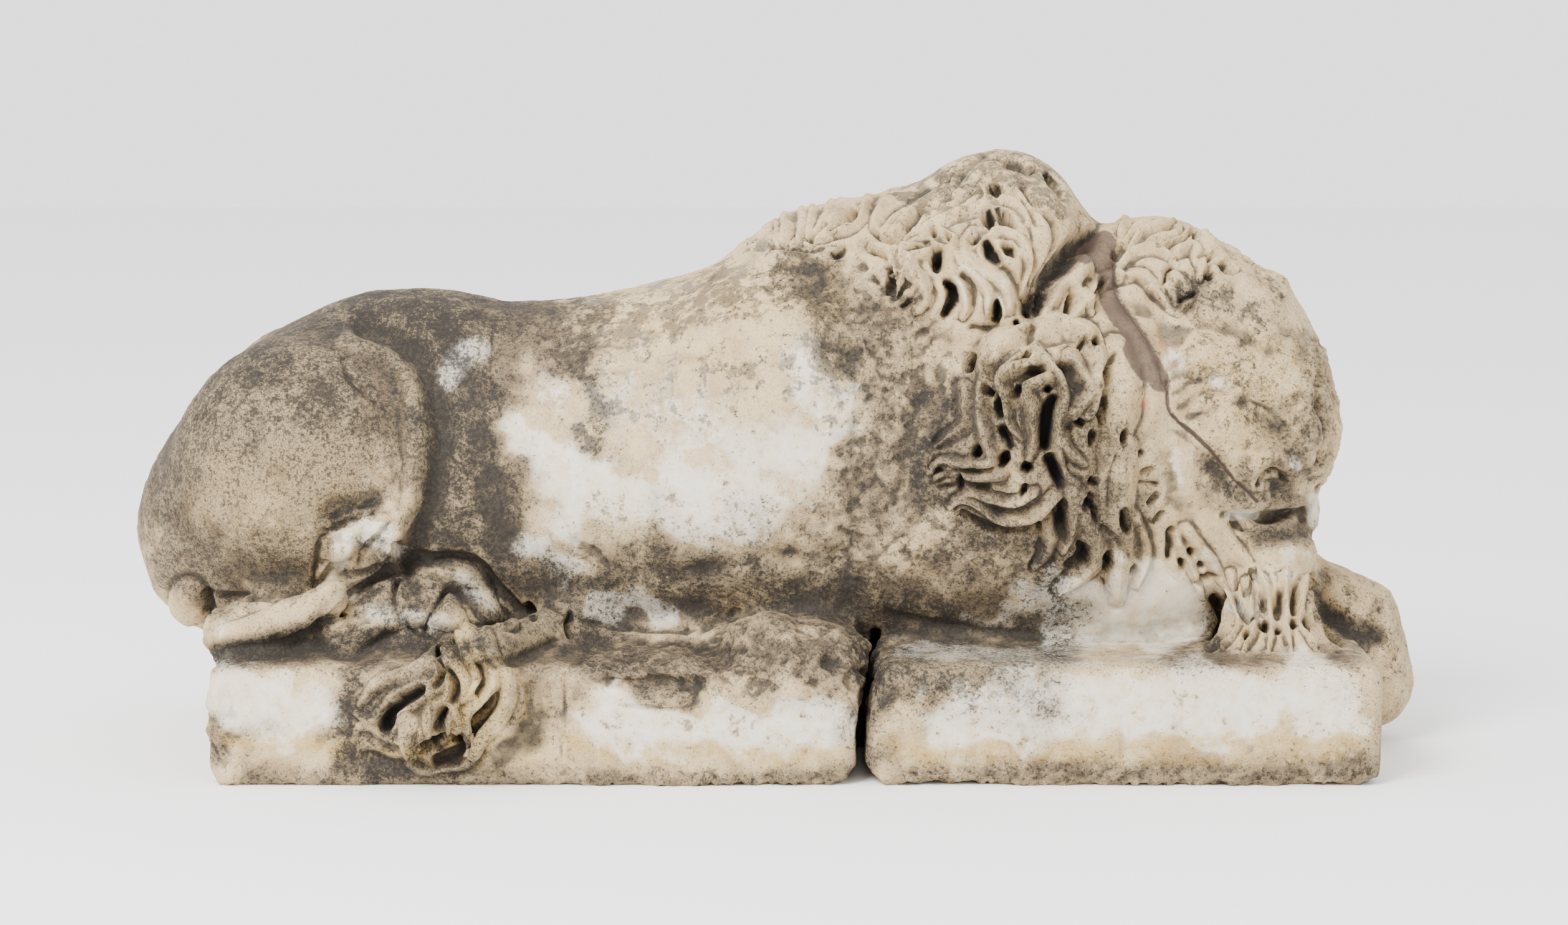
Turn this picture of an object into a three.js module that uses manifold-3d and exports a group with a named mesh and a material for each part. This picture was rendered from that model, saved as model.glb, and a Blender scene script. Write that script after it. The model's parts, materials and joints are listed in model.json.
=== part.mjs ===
// A marble lion lying on its own plinth, head bowed, one forepaw hanging over the plinth's end.
// Millimetres. +X runs from rump to head and +Z is up. The near side, with the tail's tuft, faces -Y.
// The origin is at the middle of the plinth's underside. Lion and plinth are one block of stone.
import * as THREE from "three";
import { LoftGeometry } from "three/addons/geometries/LoftGeometry.js";
import { mergeVertices } from "three/addons/utils/BufferGeometryUtils.js";
import Module from "manifold-3d";

const wasm = await Module();
wasm.setup();

// Plinth
const plinthLength = 872;
const plinthDepth = 370;
const plinthHeight = 91;
const plinthWear = 5; // rounding of the worn edges
const chipSize = 14; // broken lower corner under the rump
const cleftX = 49; // the cleft that splits the plinth's front
const cleftWidth = 7;
const cleftDepth = 150;
const cleftLipRadius = 24; // eroded lips of the cleft

// Fineness of the facets
const skinStations = 38;
const skinSides = 24;
const ballSides = 10;
const ballRings = 7;
const limbSides = 8;
const limbSteps = 5;
const lockSides = 4;
const lockSteps = 5;

const plinthFrontY = -plinthDepth / 2;
const nearSide = -1;
const farSide = 1;
const wellOutside = 330; // farther from the core line than any part of the body

// The trunk's stations: x, top of the back, underside, half width.
const trunkStations = [
  [-514, 184, 160, 14],
  [-503, 218, 120, 62],
  [-482, 250, 100, 92],
  [-448, 288, 85, 112],
  [-400, 327, 70, 120],
  [-345, 354, 70, 122],
  [-290, 360, 70, 116],
  [-215, 346, 70, 112],
  [-150, 353, 70, 119],
  [-90, 367, 70, 128],
  [-30, 382, 66, 134],
  [40, 385, 62, 132],
  [120, 370, 60, 126],
  [200, 340, 60, 116],
  [270, 290, 62, 100],
  [325, 215, 66, 72],
  [345, 150, 80, 20],
];

// Rounded masses, each an ellipsoid that runs into the body over its own blend distance.
const shoulder = { at: [-6, 72, 300], radii: [86, 68, 72], blend: 34 };
const haunch = { at: [-376, 76, 230], radii: [98, 78, 98], blend: 9 };
const knee = { at: [-322, 112, 182], radii: [37, 34, 32], blend: 8 };
const withers = { at: [20, 0, 360], radii: [68, 90, 65], blend: 10 };
const hump = { at: [96, 0, 350], radii: [98, 118, 87], blend: 12 };
const crest = { at: [158, 0, 366], radii: [81, 116, 103], blend: 8 };
const neck = { at: [192, 0, 262], radii: [112, 146, 132], blend: 22 };
const cheek = { at: [252, -6, 262], radii: [74, 114, 108], blend: 14 };
const skull = { at: [300, -12, 266], radii: [115, 94, 134], blend: 8 };
const forelock = { at: [278, -12, 374], radii: [50, 62, 46], blend: 8 };
const muzzle = { at: [362, -34, 246], radii: [62, 60, 56], blend: 8 };
const throat = { at: [304, -36, 160], radii: [48, 60, 76], blend: 12 };

const acrossBody = ({ at: [x, y, z], ...form }, side) => ({ at: [x, side * y, z], ...form });
const masses = [
  ...[shoulder, haunch, knee].flatMap((form) => [acrossBody(form, nearSide), acrossBody(form, farSide)]),
  ...[withers, hump, crest, neck, cheek, skull, forelock, muzzle, throat],
];

// The line inside the body that the skin is spun round: x, y, z.
const coreLine = [
  [-514, 0, 176],
  [-440, 0, 205],
  [0, 0, 225],
  [220, 0, 262],
  [330, -14, 262],
  [419, -24, 258],
];

// Forms that stand against the body or lie on the plinth
const lowerJaw = { at: [362, -48, 157], radii: [40, 48, 36] };
const elbowStump = { at: [4, -126, 92], radii: [56, 52, 27] };
const instep = { at: [-293, -98, 108], radii: [54, 38, 38] };
const toes = { at: [-252, -100, 104], radii: [28, 27, 26] };
const mouth = { at: [392, -62, 192], radii: [70, 56, 6] }; // cut between muzzle and jaw

const secondToe = { path: [[-272, -66, 142], [-240, -70, 136], [-216, -74, 108]], radii: [15, 18, 14] };
const shin = { path: [[-300, -82, 152], [-366, -104, 130], [-428, -128, 112]], radii: [20, 18, 18] };
const tailRoot = { path: [[-474, -8, 150], [-470, -44, 122], [-434, -52, 106]], radii: [22, 20, 20] };
const farFoot = { path: [[-420, 100, 104], [-330, 96, 112], [-262, 92, 108]], radii: [20, 25, 24] };
const farForearm = { path: [[120, 100, 104], [230, 96, 104], [330, 84, 104]], radii: [36, 32, 34] };
const overhangingForeleg = {
  path: [[250, 30, 110], [350, 14, 110], [420, 6, 104], [447, 4, 80], [450, 4, 45]],
  radii: [44, 42, 42, 45, 41],
};
const tail = {
  path: [[-180, -46, 128], [-184, -78, 112], [-202, -118, 104], [-224, -152, 105], [-234, -186, 110]],
  radii: [13, 12, 12, 12, 13],
};

// The tuft fans out over the plinth's front face. stand is how far a strand's middle is off the face.
const tuftStrands = [
  { root: [-231, 116], tip: [-256, 18], bow: 36, wave: 0, width: 24, rise: 13, stand: 11 },
  { root: [-240, 114], tip: [-241, 32], bow: 2, wave: 12, width: 24, rise: 14, stand: 13 },
  { root: [-248, 108], tip: [-277, 28], bow: 10, wave: 5, width: 26, rise: 14, stand: 14 },
  { root: [-264, 80], tip: [-279, 20], bow: -14, wave: 0, width: 26, rise: 13, stand: 12 },
  { root: [-250, 100], tip: [-323, 58], bow: 6, wave: -3, width: 18, rise: 9, stand: 6 },
  { root: [-262, 94], tip: [-321, 68], bow: -8, wave: 3, width: 14, rise: 7, stand: 4 },
  { root: [-280, 30], tip: [-323, 32], bow: -8, wave: 2, width: 16, rise: 6, stand: 3 },
];

// Rows of locks in the front view, from a first lock to a last: [x, z] of their roots and tips.
// near and far count the locks of each side, and the hidden side has fewer.
// bow and wave bend a lock sideways into a C and an S, rise is how far it stands off the body.
const lockShape = { width: 24, rise: 12 };
const hairRows = {
  withers: {
    roots: [[0, 412], [50, 420]], tips: [[-30, 380], [40, 382]],
    near: 3, far: 2, bow: -4, wave: 3,
  },
  hump: {
    roots: [[92, 424], [150, 418]], tips: [[58, 404], [112, 396]],
    near: 3, far: 0, bow: 6, wave: 4,
  },
  fringe: {
    roots: [[66, 404], [166, 412]], tips: [[64, 356], [170, 348]],
    near: 6, far: 2, bow: 2, wave: 6,
  },
  crest: {
    roots: [[172, 446], [206, 430]], tips: [[176, 352], [196, 366]],
    near: 3, far: 1, bow: -14, wave: 4,
  },
  nape: {
    roots: [[222, 390], [226, 366]], tips: [[184, 356], [178, 338]],
    near: 2, far: 0, bow: 4, wave: 3,
  },
  upperSide: {
    roots: [[152, 334], [252, 346]], tips: [[114, 262], [232, 250]],
    near: 6, far: 2, bow: 8, wave: 8,
  },
  lowerSide: {
    roots: [[132, 276], [200, 228]], tips: [[100, 234], [120, 192]],
    near: 4, far: 1, bow: -8, wave: 6,
  },
  bottom: {
    roots: [[168, 240], [262, 236]], tips: [[182, 146], [268, 138]],
    near: 5, far: 2, bow: -6, wave: 8,
  },
  jowl: {
    roots: [[250, 346], [276, 310]], tips: [[250, 222], [278, 196]],
    near: 2, far: 0, bow: -4, wave: 6,
  },
  forelock: {
    roots: [[256, 396], [322, 380]], tips: [[246, 360], [322, 348]],
    near: 4, far: 2, bow: 6, wave: 5,
  },
};
const beard = {
  roots: [[322, 140], [396, 140]], tips: [[312, 84], [408, 84]],
  count: 5, width: 18, rise: 18,
};
const beardTopY = -98; // where the strands leave the jaw
const beardLean = 0.5; // how far they come forward on their way down

const mix = (from, to, t) => from.map((value, i) => value + (to[i] - value) * t);

// Reads a table of rows at x, its first column, between the rows on either side.
function tableAt(rows, x) {
  const beyond = rows.findIndex((row) => row[0] > x);
  const next = beyond < 0 ? rows.length - 1 : Math.max(beyond, 1);
  const [before, after] = [rows[next - 1], rows[next]];
  return mix(before, after, THREE.MathUtils.clamp((x - before[0]) / (after[0] - before[0]), 0, 1));
}

// A closed three.js geometry as a solid that can be joined and cut.
function solidOf(geometry) {
  const bare = new THREE.BufferGeometry();
  bare.setAttribute("position", geometry.getAttribute("position"));
  if (geometry.index) bare.setIndex(geometry.index);
  const merged = mergeVertices(bare, 1e-3);
  return new wasm.Manifold(
    new wasm.Mesh({
      numProp: 3,
      vertProperties: merged.attributes.position.array,
      triVerts: new Uint32Array(merged.index.array),
    }),
  );
}

const closedLoft = (rings) => solidOf(new LoftGeometry(rings, { capStart: true, capEnd: true }));

function ellipsoid({ at, radii }) {
  const ball = new THREE.SphereGeometry(1, ballSides, ballRings);
  ball.scale(...radii);
  ball.translate(...at);
  return solidOf(ball);
}

// A round limb of changing radius along a smooth path, with rounded ends.
function limb({ path, radii }) {
  const curve = new THREE.CatmullRomCurve3(path.map((p) => new THREE.Vector3(...p)));
  const girth = new THREE.SplineCurve(radii.map((radius, i) => new THREE.Vector2(i, radius)));
  const frames = curve.computeFrenetFrames(limbSteps);
  const ringAt = (i, shrink, shift) => {
    const radius = girth.getPoint(i / limbSteps).y;
    const centre = curve.getPointAt(i / limbSteps).addScaledVector(frames.tangents[i], shift * radius);
    return Array.from({ length: limbSides }, (_, j) => {
      const angle = (j / limbSides) * 2 * Math.PI;
      return centre
        .clone()
        .addScaledVector(frames.normals[i], radius * shrink * Math.cos(angle))
        .addScaledVector(frames.binormals[i], radius * shrink * Math.sin(angle));
    });
  };
  const middle = Array.from({ length: limbSteps + 1 }, (_, i) => ringAt(i, 1, 0));
  const start = [ringAt(0, 0.5, -0.87), ringAt(0, 0.87, -0.5)];
  const end = [ringAt(limbSteps, 0.87, 0.5), ringAt(limbSteps, 0.5, 0.87)];
  return closedLoft([...start, ...middle, ...end]);
}

// How far a point lies outside an ellipsoid, near enough.
function distanceTo({ at, radii }, p) {
  const offset = p.map((value, i) => (value - at[i]) / radii[i]);
  const reach = Math.hypot(...offset);
  const slope = Math.hypot(...offset.map((value, i) => value / radii[i]));
  return slope > 0 ? (reach * (reach - 1)) / slope : -Math.min(...radii);
}

function distanceToTrunk([x, y, z]) {
  const [nearest, top, underside, halfWidth] = tableAt(trunkStations, x);
  const halfHeight = (top - underside) / 2;
  const reach = Math.hypot(y / halfWidth, (z - underside - halfHeight) / halfHeight);
  return (reach - 1) * Math.min(halfWidth, halfHeight) + Math.abs(x - nearest);
}

// Signed distance to the whole body: the trunk with every mass run into it.
function distanceToBody(p) {
  let nearest = distanceToTrunk(p);
  for (const mass of masses) {
    const distance = distanceTo(mass, p);
    const overlap = Math.max(mass.blend - Math.abs(nearest - distance), 0) / mass.blend;
    nearest = Math.min(nearest, distance) - (overlap * overlap * mass.blend) / 4;
  }
  return nearest;
}

// The last point inside the body on a straight way from outside towards target.
function hitBody(outside, target, stride = 5) {
  const way = Math.hypot(...target.map((value, i) => value - outside[i]));
  const pointAt = (t) => mix(outside, target, Math.min(t / way, 1));
  let t = 0;
  while (t < way && distanceToBody(pointAt(t)) > 0) t += stride;
  if (t >= way) return target;
  let [clear, inside] = [t - stride, t];
  for (let i = 0; i < 8; i++) {
    const middle = (clear + inside) / 2;
    if (distanceToBody(pointAt(middle)) > 0) clear = middle;
    else inside = middle;
  }
  return pointAt(inside);
}

// The body's skin: rings in planes of constant x, each point found from outside towards the core line.
function bodySkin() {
  const [firstX, lastX] = [coreLine[0][0], coreLine[coreLine.length - 1][0]];
  const crowding = 0.45; // share of the spacing that crowds the rings towards rump and head
  const smallestRing = 2; // keeps the end rings open
  const rings = Array.from({ length: skinStations }, (_, i) => {
    const t = i / (skinStations - 1);
    const eased = (1 - crowding) * t + (crowding * (1 - Math.cos(Math.PI * t))) / 2;
    const x = firstX + (lastX - firstX) * eased;
    const core = tableAt(coreLine, x);
    return Array.from({ length: skinSides }, (_, j) => {
      const angle = (j / skinSides) * 2 * Math.PI;
      const direction = [0, Math.cos(angle), Math.sin(angle)];
      const outside = core.map((value, k) => value + wellOutside * direction[k]);
      const smallest = core.map((value, k) => value + smallestRing * direction[k]);
      return new THREE.Vector3(...hitBody(outside, smallest));
    });
  });
  return closedLoft(rings);
}

// One tapering lock of hair, half sunk in the surface that surfaceAt gives for a point of the front view.
function lock({ root, tip, bow = 0, wave = 0, width, rise, side, surfaceAt }) {
  const rootPoint = new THREE.Vector2(...root);
  const run = new THREE.Vector2(...tip).sub(rootPoint);
  const across = new THREE.Vector2(-run.y, run.x).normalize();
  const centreAt = (t) => {
    const sway = bow * Math.sin(Math.PI * t) + wave * Math.sin(2 * Math.PI * t);
    const p = rootPoint.clone().addScaledVector(run, t).addScaledVector(across, sway);
    return new THREE.Vector3(p.x, surfaceAt(p.x, p.y, side), p.y);
  };
  const probe = 6;
  const slope = (x, z, dx, dz) => {
    const [ahead, behind] = [surfaceAt(x + dx, z + dz, side), surfaceAt(x - dx, z - dz, side)];
    return (ahead - behind) / (2 * probe);
  };
  const rings = Array.from({ length: lockSteps + 1 }, (_, i) => {
    const t = i / lockSteps;
    const centre = centreAt(t);
    const along = centreAt(Math.min(t + 0.05, 1)).sub(centreAt(Math.max(t - 0.05, 0))).normalize();
    const { x, z } = centre;
    const outward = new THREE.Vector3(-side * slope(x, z, probe, 0), side, -side * slope(x, z, 0, probe));
    outward.normalize();
    const sideways = new THREE.Vector3().crossVectors(outward, along).normalize();
    const swell = 0.2 + 0.8 * Math.sin(Math.PI * (0.16 + 0.8 * t)) ** 0.8;
    return Array.from({ length: lockSides }, (_, j) => {
      const angle = (j / lockSides) * 2 * Math.PI; // one edge is the lock's ridge
      return centre
        .clone()
        .addScaledVector(sideways, 0.5 * width * swell * Math.cos(angle))
        .addScaledVector(outward, rise * swell * Math.sin(angle));
    });
  });
  return closedLoft(rings);
}

function rowOfLocks({ roots, tips, count, ...shape }, side, surfaceAt) {
  return Array.from({ length: count }, (_, i) => {
    const t = (i + 0.5) / count;
    return lock({ ...shape, root: mix(...roots, t), tip: mix(...tips, t), side, surfaceAt });
  });
}

function mane() {
  const skinY = (x, z, side) => hitBody([x, side * wellOutside, z], [x, 0, z])[1];
  return Object.values(hairRows).flatMap(({ near, far, ...row }) => [
    ...rowOfLocks({ ...lockShape, ...row, count: near }, nearSide, skinY),
    ...rowOfLocks({ ...lockShape, ...row, count: far }, farSide, skinY),
  ]);
}

// Strands that run from the jaw down to the plinth and spread there.
function chinBeard() {
  const [, topZ] = beard.roots[0];
  return rowOfLocks(beard, nearSide, (x, z) => beardTopY - beardLean * (topZ - z));
}

function tailTuft() {
  return tuftStrands.map(({ stand, ...strand }) =>
    lock({ ...strand, side: nearSide, surfaceAt: () => plinthFrontY - stand }),
  );
}

// The plinth's front view between two x values, its corners rounded by the given radii.
function blockOutline(left, right, { lowerLeft, upperLeft, upperRight, lowerRight }) {
  const shape = new THREE.Shape();
  shape.moveTo(left + lowerLeft, 0);
  shape.lineTo(right - lowerRight, 0);
  shape.quadraticCurveTo(right, 0, right, lowerRight);
  shape.lineTo(right, plinthHeight - upperRight);
  shape.quadraticCurveTo(right, plinthHeight, right - upperRight, plinthHeight);
  shape.lineTo(left + upperLeft, plinthHeight);
  shape.quadraticCurveTo(left, plinthHeight, left, plinthHeight - upperLeft);
  shape.lineTo(left, lowerLeft);
  shape.quadraticCurveTo(left, 0, left + lowerLeft, 0);
  return shape;
}

function blockSolid(shape, frontY, backY) {
  const block = new THREE.ExtrudeGeometry(shape, {
    depth: backY - frontY - 2 * plinthWear,
    bevelThickness: plinthWear,
    bevelSize: plinthWear,
    bevelOffset: -plinthWear,
    bevelSegments: 1,
    curveSegments: 3,
  });
  block.rotateX(Math.PI / 2); // the outline's height becomes z, and the extrusion runs towards -Y
  block.translate(0, backY - plinthWear, 0);
  return solidOf(block);
}

function plinth() {
  const worn = 2 * plinthWear;
  const lip = cleftLipRadius;
  const [left, right] = [-plinthLength / 2, plinthLength / 2];
  const cleftBackY = plinthFrontY + cleftDepth;
  const underRump = blockOutline(left, cleftX - cleftWidth / 2, {
    lowerLeft: chipSize,
    upperLeft: worn,
    upperRight: worn,
    lowerRight: lip,
  });
  const underHead = blockOutline(cleftX + cleftWidth / 2, right, {
    lowerLeft: lip,
    upperLeft: lip,
    upperRight: worn,
    lowerRight: worn,
  });
  const whole = blockOutline(left, right, {
    lowerLeft: chipSize,
    upperLeft: worn,
    upperRight: worn,
    lowerRight: worn,
  });
  return [
    blockSolid(underRump, plinthFrontY, cleftBackY + worn),
    blockSolid(underHead, plinthFrontY, cleftBackY + worn),
    blockSolid(whole, cleftBackY, -plinthFrontY),
  ];
}

// Crossing locks can leave specks of no size between them.
function withoutSpecks(solid) {
  const speckVolume = 100;
  return wasm.Manifold.union(solid.decompose().filter((body) => body.volume() > speckVolume));
}

function lion() {
  const rounded = [lowerJaw, elbowStump, instep, toes].map(ellipsoid);
  const limbs = [secondToe, shin, tailRoot, tail, farFoot, farForearm, overhangingForeleg].map(limb);
  const animal = wasm.Manifold.union([bodySkin(), ...rounded, ...limbs, ...mane()]);
  const mouthed = animal.subtract(ellipsoid(mouth));
  return withoutSpecks(wasm.Manifold.union([mouthed, ...plinth(), ...tailTuft(), ...chinBeard()]));
}

function meshFrom(name, solid, material) {
  const { vertProperties, numProp, triVerts } = solid.getMesh();
  const geometry = new THREE.BufferGeometry();
  geometry.setAttribute("position", new THREE.BufferAttribute(vertProperties, numProp));
  geometry.setIndex(new THREE.BufferAttribute(triVerts, 1));
  geometry.computeVertexNormals();
  const mesh = new THREE.Mesh(geometry, material);
  mesh.name = name;
  return mesh;
}

const weatheredMarble = new THREE.MeshStandardMaterial({ color: 0xc9bda6, roughness: 0.75, metalness: 0 });

const model = new THREE.Group();
model.add(meshFrom("lion", lion(), weatheredMarble));
export default model;
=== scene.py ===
import json
import math
import bpy
import numpy as np
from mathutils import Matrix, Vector

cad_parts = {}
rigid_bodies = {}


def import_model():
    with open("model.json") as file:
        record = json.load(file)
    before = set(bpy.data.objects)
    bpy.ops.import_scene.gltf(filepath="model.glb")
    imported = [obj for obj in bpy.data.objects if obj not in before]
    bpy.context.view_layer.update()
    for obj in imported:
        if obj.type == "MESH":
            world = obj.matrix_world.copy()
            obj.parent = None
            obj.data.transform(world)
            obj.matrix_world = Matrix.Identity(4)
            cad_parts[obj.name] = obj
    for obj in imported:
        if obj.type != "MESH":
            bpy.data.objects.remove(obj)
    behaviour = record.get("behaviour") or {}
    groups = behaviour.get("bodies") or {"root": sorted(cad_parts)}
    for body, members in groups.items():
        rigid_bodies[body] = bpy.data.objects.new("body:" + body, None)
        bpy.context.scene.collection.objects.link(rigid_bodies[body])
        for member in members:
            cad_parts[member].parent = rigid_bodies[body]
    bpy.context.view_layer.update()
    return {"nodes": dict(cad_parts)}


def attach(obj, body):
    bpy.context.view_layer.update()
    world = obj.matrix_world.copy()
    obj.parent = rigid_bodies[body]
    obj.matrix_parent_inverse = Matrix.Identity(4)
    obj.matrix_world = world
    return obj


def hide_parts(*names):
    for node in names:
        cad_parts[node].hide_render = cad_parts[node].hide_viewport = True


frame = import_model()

# The camera faces the lion's side from a little above it.
# A point on the photograph is a pair of pixels in its 2516 x 1484 frame, counted from the upper left.
view = {
    "photoWidth": 2516,
    "photoHeight": 1484,
    "distance": 3.2,
    "pitch": math.radians(7),
    "aimX": -0.0087,
    "aimZ": 0.2197,
    "pixelSize": 0.00048688,  # metres on a pixel at the aim point
    "filmWidth": 36,
}


def addCamera():
    lens = view["filmWidth"] * view["distance"] / (view["photoWidth"] * view["pixelSize"])
    away = view["distance"] * math.cos(view["pitch"])
    above = view["distance"] * math.sin(view["pitch"])
    place = (view["aimX"], -away, view["aimZ"] + above)
    bpy.ops.object.camera_add(location=place, rotation=(math.pi / 2 - view["pitch"], 0, 0))
    camera = bpy.context.object
    camera.name = "photoCamera"
    camera.data.sensor_width = view["filmWidth"]
    camera.data.lens = lens
    camera.data.clip_end = 60
    bpy.context.scene.camera = camera
    return np.array(place)


cameraPlace = addCamera()
print("camera set")


def photoPixels(points):
    # where points (n, 3) stand on the photograph
    sin, cos = math.sin(view["pitch"]), math.cos(view["pitch"])
    drop = points[:, 2] - view["aimZ"]
    depth = view["distance"] + cos * points[:, 1] - sin * drop
    scale = view["distance"] / depth / view["pixelSize"]
    u = view["photoWidth"] / 2 + (points[:, 0] - view["aimX"]) * scale
    v = view["photoHeight"] / 2 - (sin * points[:, 1] + cos * drop) * scale
    return u, v


def smoothStep(low, high, value):
    t = np.clip((value - low) / (high - low), 0, 1)
    return t * t * (3 - 2 * t)


def curveThrough(points, steps=5):
    # a smooth line through given points, as an array
    p = np.array(points, float)
    if len(p) < 3:
        return p
    ends = np.vstack([2 * p[0] - p[1], p, 2 * p[-1] - p[-2]])
    line = [p[0]]
    for i in range(len(p) - 1):
        a, b, c, d = ends[i : i + 4]
        for k in range(1, steps + 1):
            t = k / steps
            line.append(
                0.5 * (2 * b + (c - a) * t + (2 * a - 5 * b + 4 * c - d) * t * t
                       + (3 * b - a - 3 * c + d) * t**3)
            )
    return np.array(line)


def nearLine(u, v, line, reach):
    # The points within reach of a line: their numbers, how far off it they are, with a sign for the side,
    # and how far along it, 0 to 1.
    low, high = line.min(0) - reach, line.max(0) + reach
    near = np.flatnonzero((u > low[0]) & (u < high[0]) & (v > low[1]) & (v < high[1]))
    p = np.stack([u[near], v[near]], 1)
    best = np.full(len(near), np.inf)
    along = np.zeros(len(near))
    side = np.ones(len(near))
    lengths = np.hypot(*np.diff(line, axis=0).T)
    walked = np.concatenate([[0], np.cumsum(lengths)])
    for a, b, start, length in zip(line[:-1], line[1:], walked[:-1], lengths):
        if length == 0:
            continue
        way = (b - a) / length
        t = np.clip((p - a) @ way, 0, length)
        gap = np.hypot(*(p - a - t[:, None] * way).T)
        closer = gap < best
        best[closer] = gap[closer]
        along[closer] = (start + t[closer]) / walked[-1]
        side[closer] = np.where((p[closer] - a) @ (-way[1], way[0]) < 0, -1, 1)
    return near, best * side, along


# Locks of hair: width in pixels, rise in millimetres, and the line that they follow, root first.
maneLocks = {
    "crestTop": (44, 3.2, (1600, 244), (1649, 253), (1692, 274), (1720, 312), (1744, 354), (1748, 385)),
    "crestFace": (46, 3.6, (1650, 275), (1671, 299), (1692, 324), (1712, 354), (1706, 392), (1685, 425),
                  (1664, 470)),
    "humpBack": (38, 4, (1556, 246), (1519, 266), (1477, 284), (1437, 306), (1414, 330), (1402, 358)),
    "humpInner": (24, 3.6, (1530, 270), (1519, 299), (1485, 320), (1452, 346), (1428, 374)),
    "humpUpper": (24, 3.6, (1586, 282), (1565, 303), (1540, 324), (1506, 335), (1473, 350), (1446, 374)),
    "humpMiddle": (22, 4, (1582, 326), (1540, 338), (1506, 352), (1477, 368), (1454, 378)),
    "humpMiddleTop": (30, 3.4, (1596, 258), (1572, 272), (1550, 296), (1530, 312)),
    "crestSecond": (36, 3.6, (1600, 274), (1624, 295), (1649, 325), (1671, 352), (1680, 385), (1668, 430),
                    (1648, 480)),
    "crestLoop": (18, 4, (1574, 322), (1596, 314), (1622, 318), (1643, 334), (1652, 356)),
    "crestCurl": (20, 4.5, (1550, 390), (1574, 372), (1607, 367), (1633, 376), (1649, 398), (1653, 428),
                  (1646, 455), (1640, 475)),
    "crestFall": (18, 4, (1605, 440), (1622, 462), (1632, 485), (1634, 502)),
    "fringeFirst": (20, 5, (1400, 395), (1425, 400), (1440, 415), (1437, 440), (1440, 465)),
    "fringeSecond": (26, 5, (1523, 383), (1500, 371), (1470, 373), (1445, 390), (1436, 415), (1444, 442),
                     (1436, 475)),
    "fringeThird": (32, 6, (1494, 396), (1466, 404), (1460, 428), (1478, 455), (1486, 480), (1470, 500)),
    "fringeFourth": (28, 5, (1527, 392), (1523, 415), (1530, 438), (1548, 462), (1552, 490), (1545, 510)),
    "fringeInner": (26, 5, (1530, 400), (1550, 428), (1576, 452), (1588, 478), (1586, 506)),
    "fringeFifth": (26, 5.5, (1561, 372), (1548, 398), (1565, 426), (1600, 448), (1618, 474),
                    (1622, 500)),
    "napeFirst": (30, 5, (1745, 430), (1705, 450), (1690, 480), (1670, 510)),
    "napeSecond": (26, 5, (1790, 440), (1760, 455), (1745, 480), (1725, 505), (1700, 520)),
    "flankEroded": (26, 4, (1545, 620), (1548, 650), (1545, 680), (1520, 700), (1500, 715)),
    "sideBack": (26, 6, (1580, 600), (1572, 650), (1580, 700), (1590, 740), (1570, 750)),
    "sideArch": (50, 7, (1690, 520), (1640, 530), (1600, 555), (1580, 590), (1590, 620)),
    "sideArchInner": (22, 7, (1662, 558), (1625, 585), (1605, 610), (1612, 640), (1620, 680),
                      (1640, 705)),
    "sideArchCore": (30, 6, (1682, 605), (1660, 612), (1645, 625), (1655, 655), (1660, 700), (1650, 740)),
    "sideSerpent": (20, 7, (1662, 558), (1682, 582), (1702, 605), (1709, 640), (1700, 680), (1698, 720),
                    (1708, 760), (1730, 775)),
    "sideSwirl": (30, 7, (1720, 570), (1735, 600), (1748, 625), (1737, 645), (1715, 665), (1702, 690),
                  (1712, 720), (1740, 745)),
    "sideFront": (40, 7, (1710, 520), (1745, 535), (1762, 580), (1757, 620), (1752, 650), (1742, 668)),
    "lowTongue": (20, 6, (1590, 740), (1550, 745), (1510, 740), (1490, 760)),
    "lowTongueSecond": (22, 6, (1605, 762), (1560, 765), (1520, 755), (1498, 770)),
    "lowTongueThird": (18, 6, (1660, 790), (1630, 805), (1590, 800), (1560, 790), (1528, 800)),
    "lowTongueLast": (24, 8, (1695, 795), (1670, 820), (1640, 832), (1600, 830), (1570, 808), (1545, 800),
                      (1522, 812)),
    "sideCheek": (52, 5, (1790, 560), (1806, 600), (1808, 640), (1800, 690), (1797, 740)),
    "lowThird": (26, 5, (1672, 830), (1684, 855), (1678, 889), (1658, 910)),
    "lowFirst": (30, 6, (1722, 785), (1722, 830), (1716, 860), (1704, 884)),
    "lowPoint": (40, 6.5, (1730, 800), (1742, 845), (1762, 878), (1752, 906), (1724, 930), (1695, 946)),
    "lowFork": (24, 5, (1822, 830), (1838, 870), (1838, 905), (1822, 944)),
    "lowBroad": (60, 6, (1797, 720), (1797, 775), (1795, 829), (1802, 870), (1795, 915), (1792, 962)),
}
foreLocks = {
    "curl": (13, 5, (1797, 370), (1815, 345), (1842, 332), (1876, 332), (1899, 345), (1908, 363),
             (1899, 377), (1876, 384), (1860, 395)),
    "curlInner": (16, 4, (1810, 400), (1830, 372), (1858, 358), (1885, 352)),
    "curlLower": (20, 5, (1795, 430), (1815, 405), (1845, 395), (1870, 405), (1890, 425)),
    "browFirst": (22, 5, (1890, 400), (1915, 395), (1930, 425), (1925, 450)),
    "browSecond": (20, 5, (1930, 375), (1945, 395), (1958, 410), (1985, 432)),
    "browThird": (20, 5, (1955, 380), (1985, 388), (2005, 400), (2018, 425)),
    "browBack": (24, 4, (1800, 440), (1830, 440), (1860, 470), (1880, 500)),
    "browMiddle": (22, 4, (1880, 440), (1900, 455), (1905, 480), (1890, 505)),
    "temple": (22, 4, (1745, 405), (1730, 440), (1735, 470), (1755, 500)),
}
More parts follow.
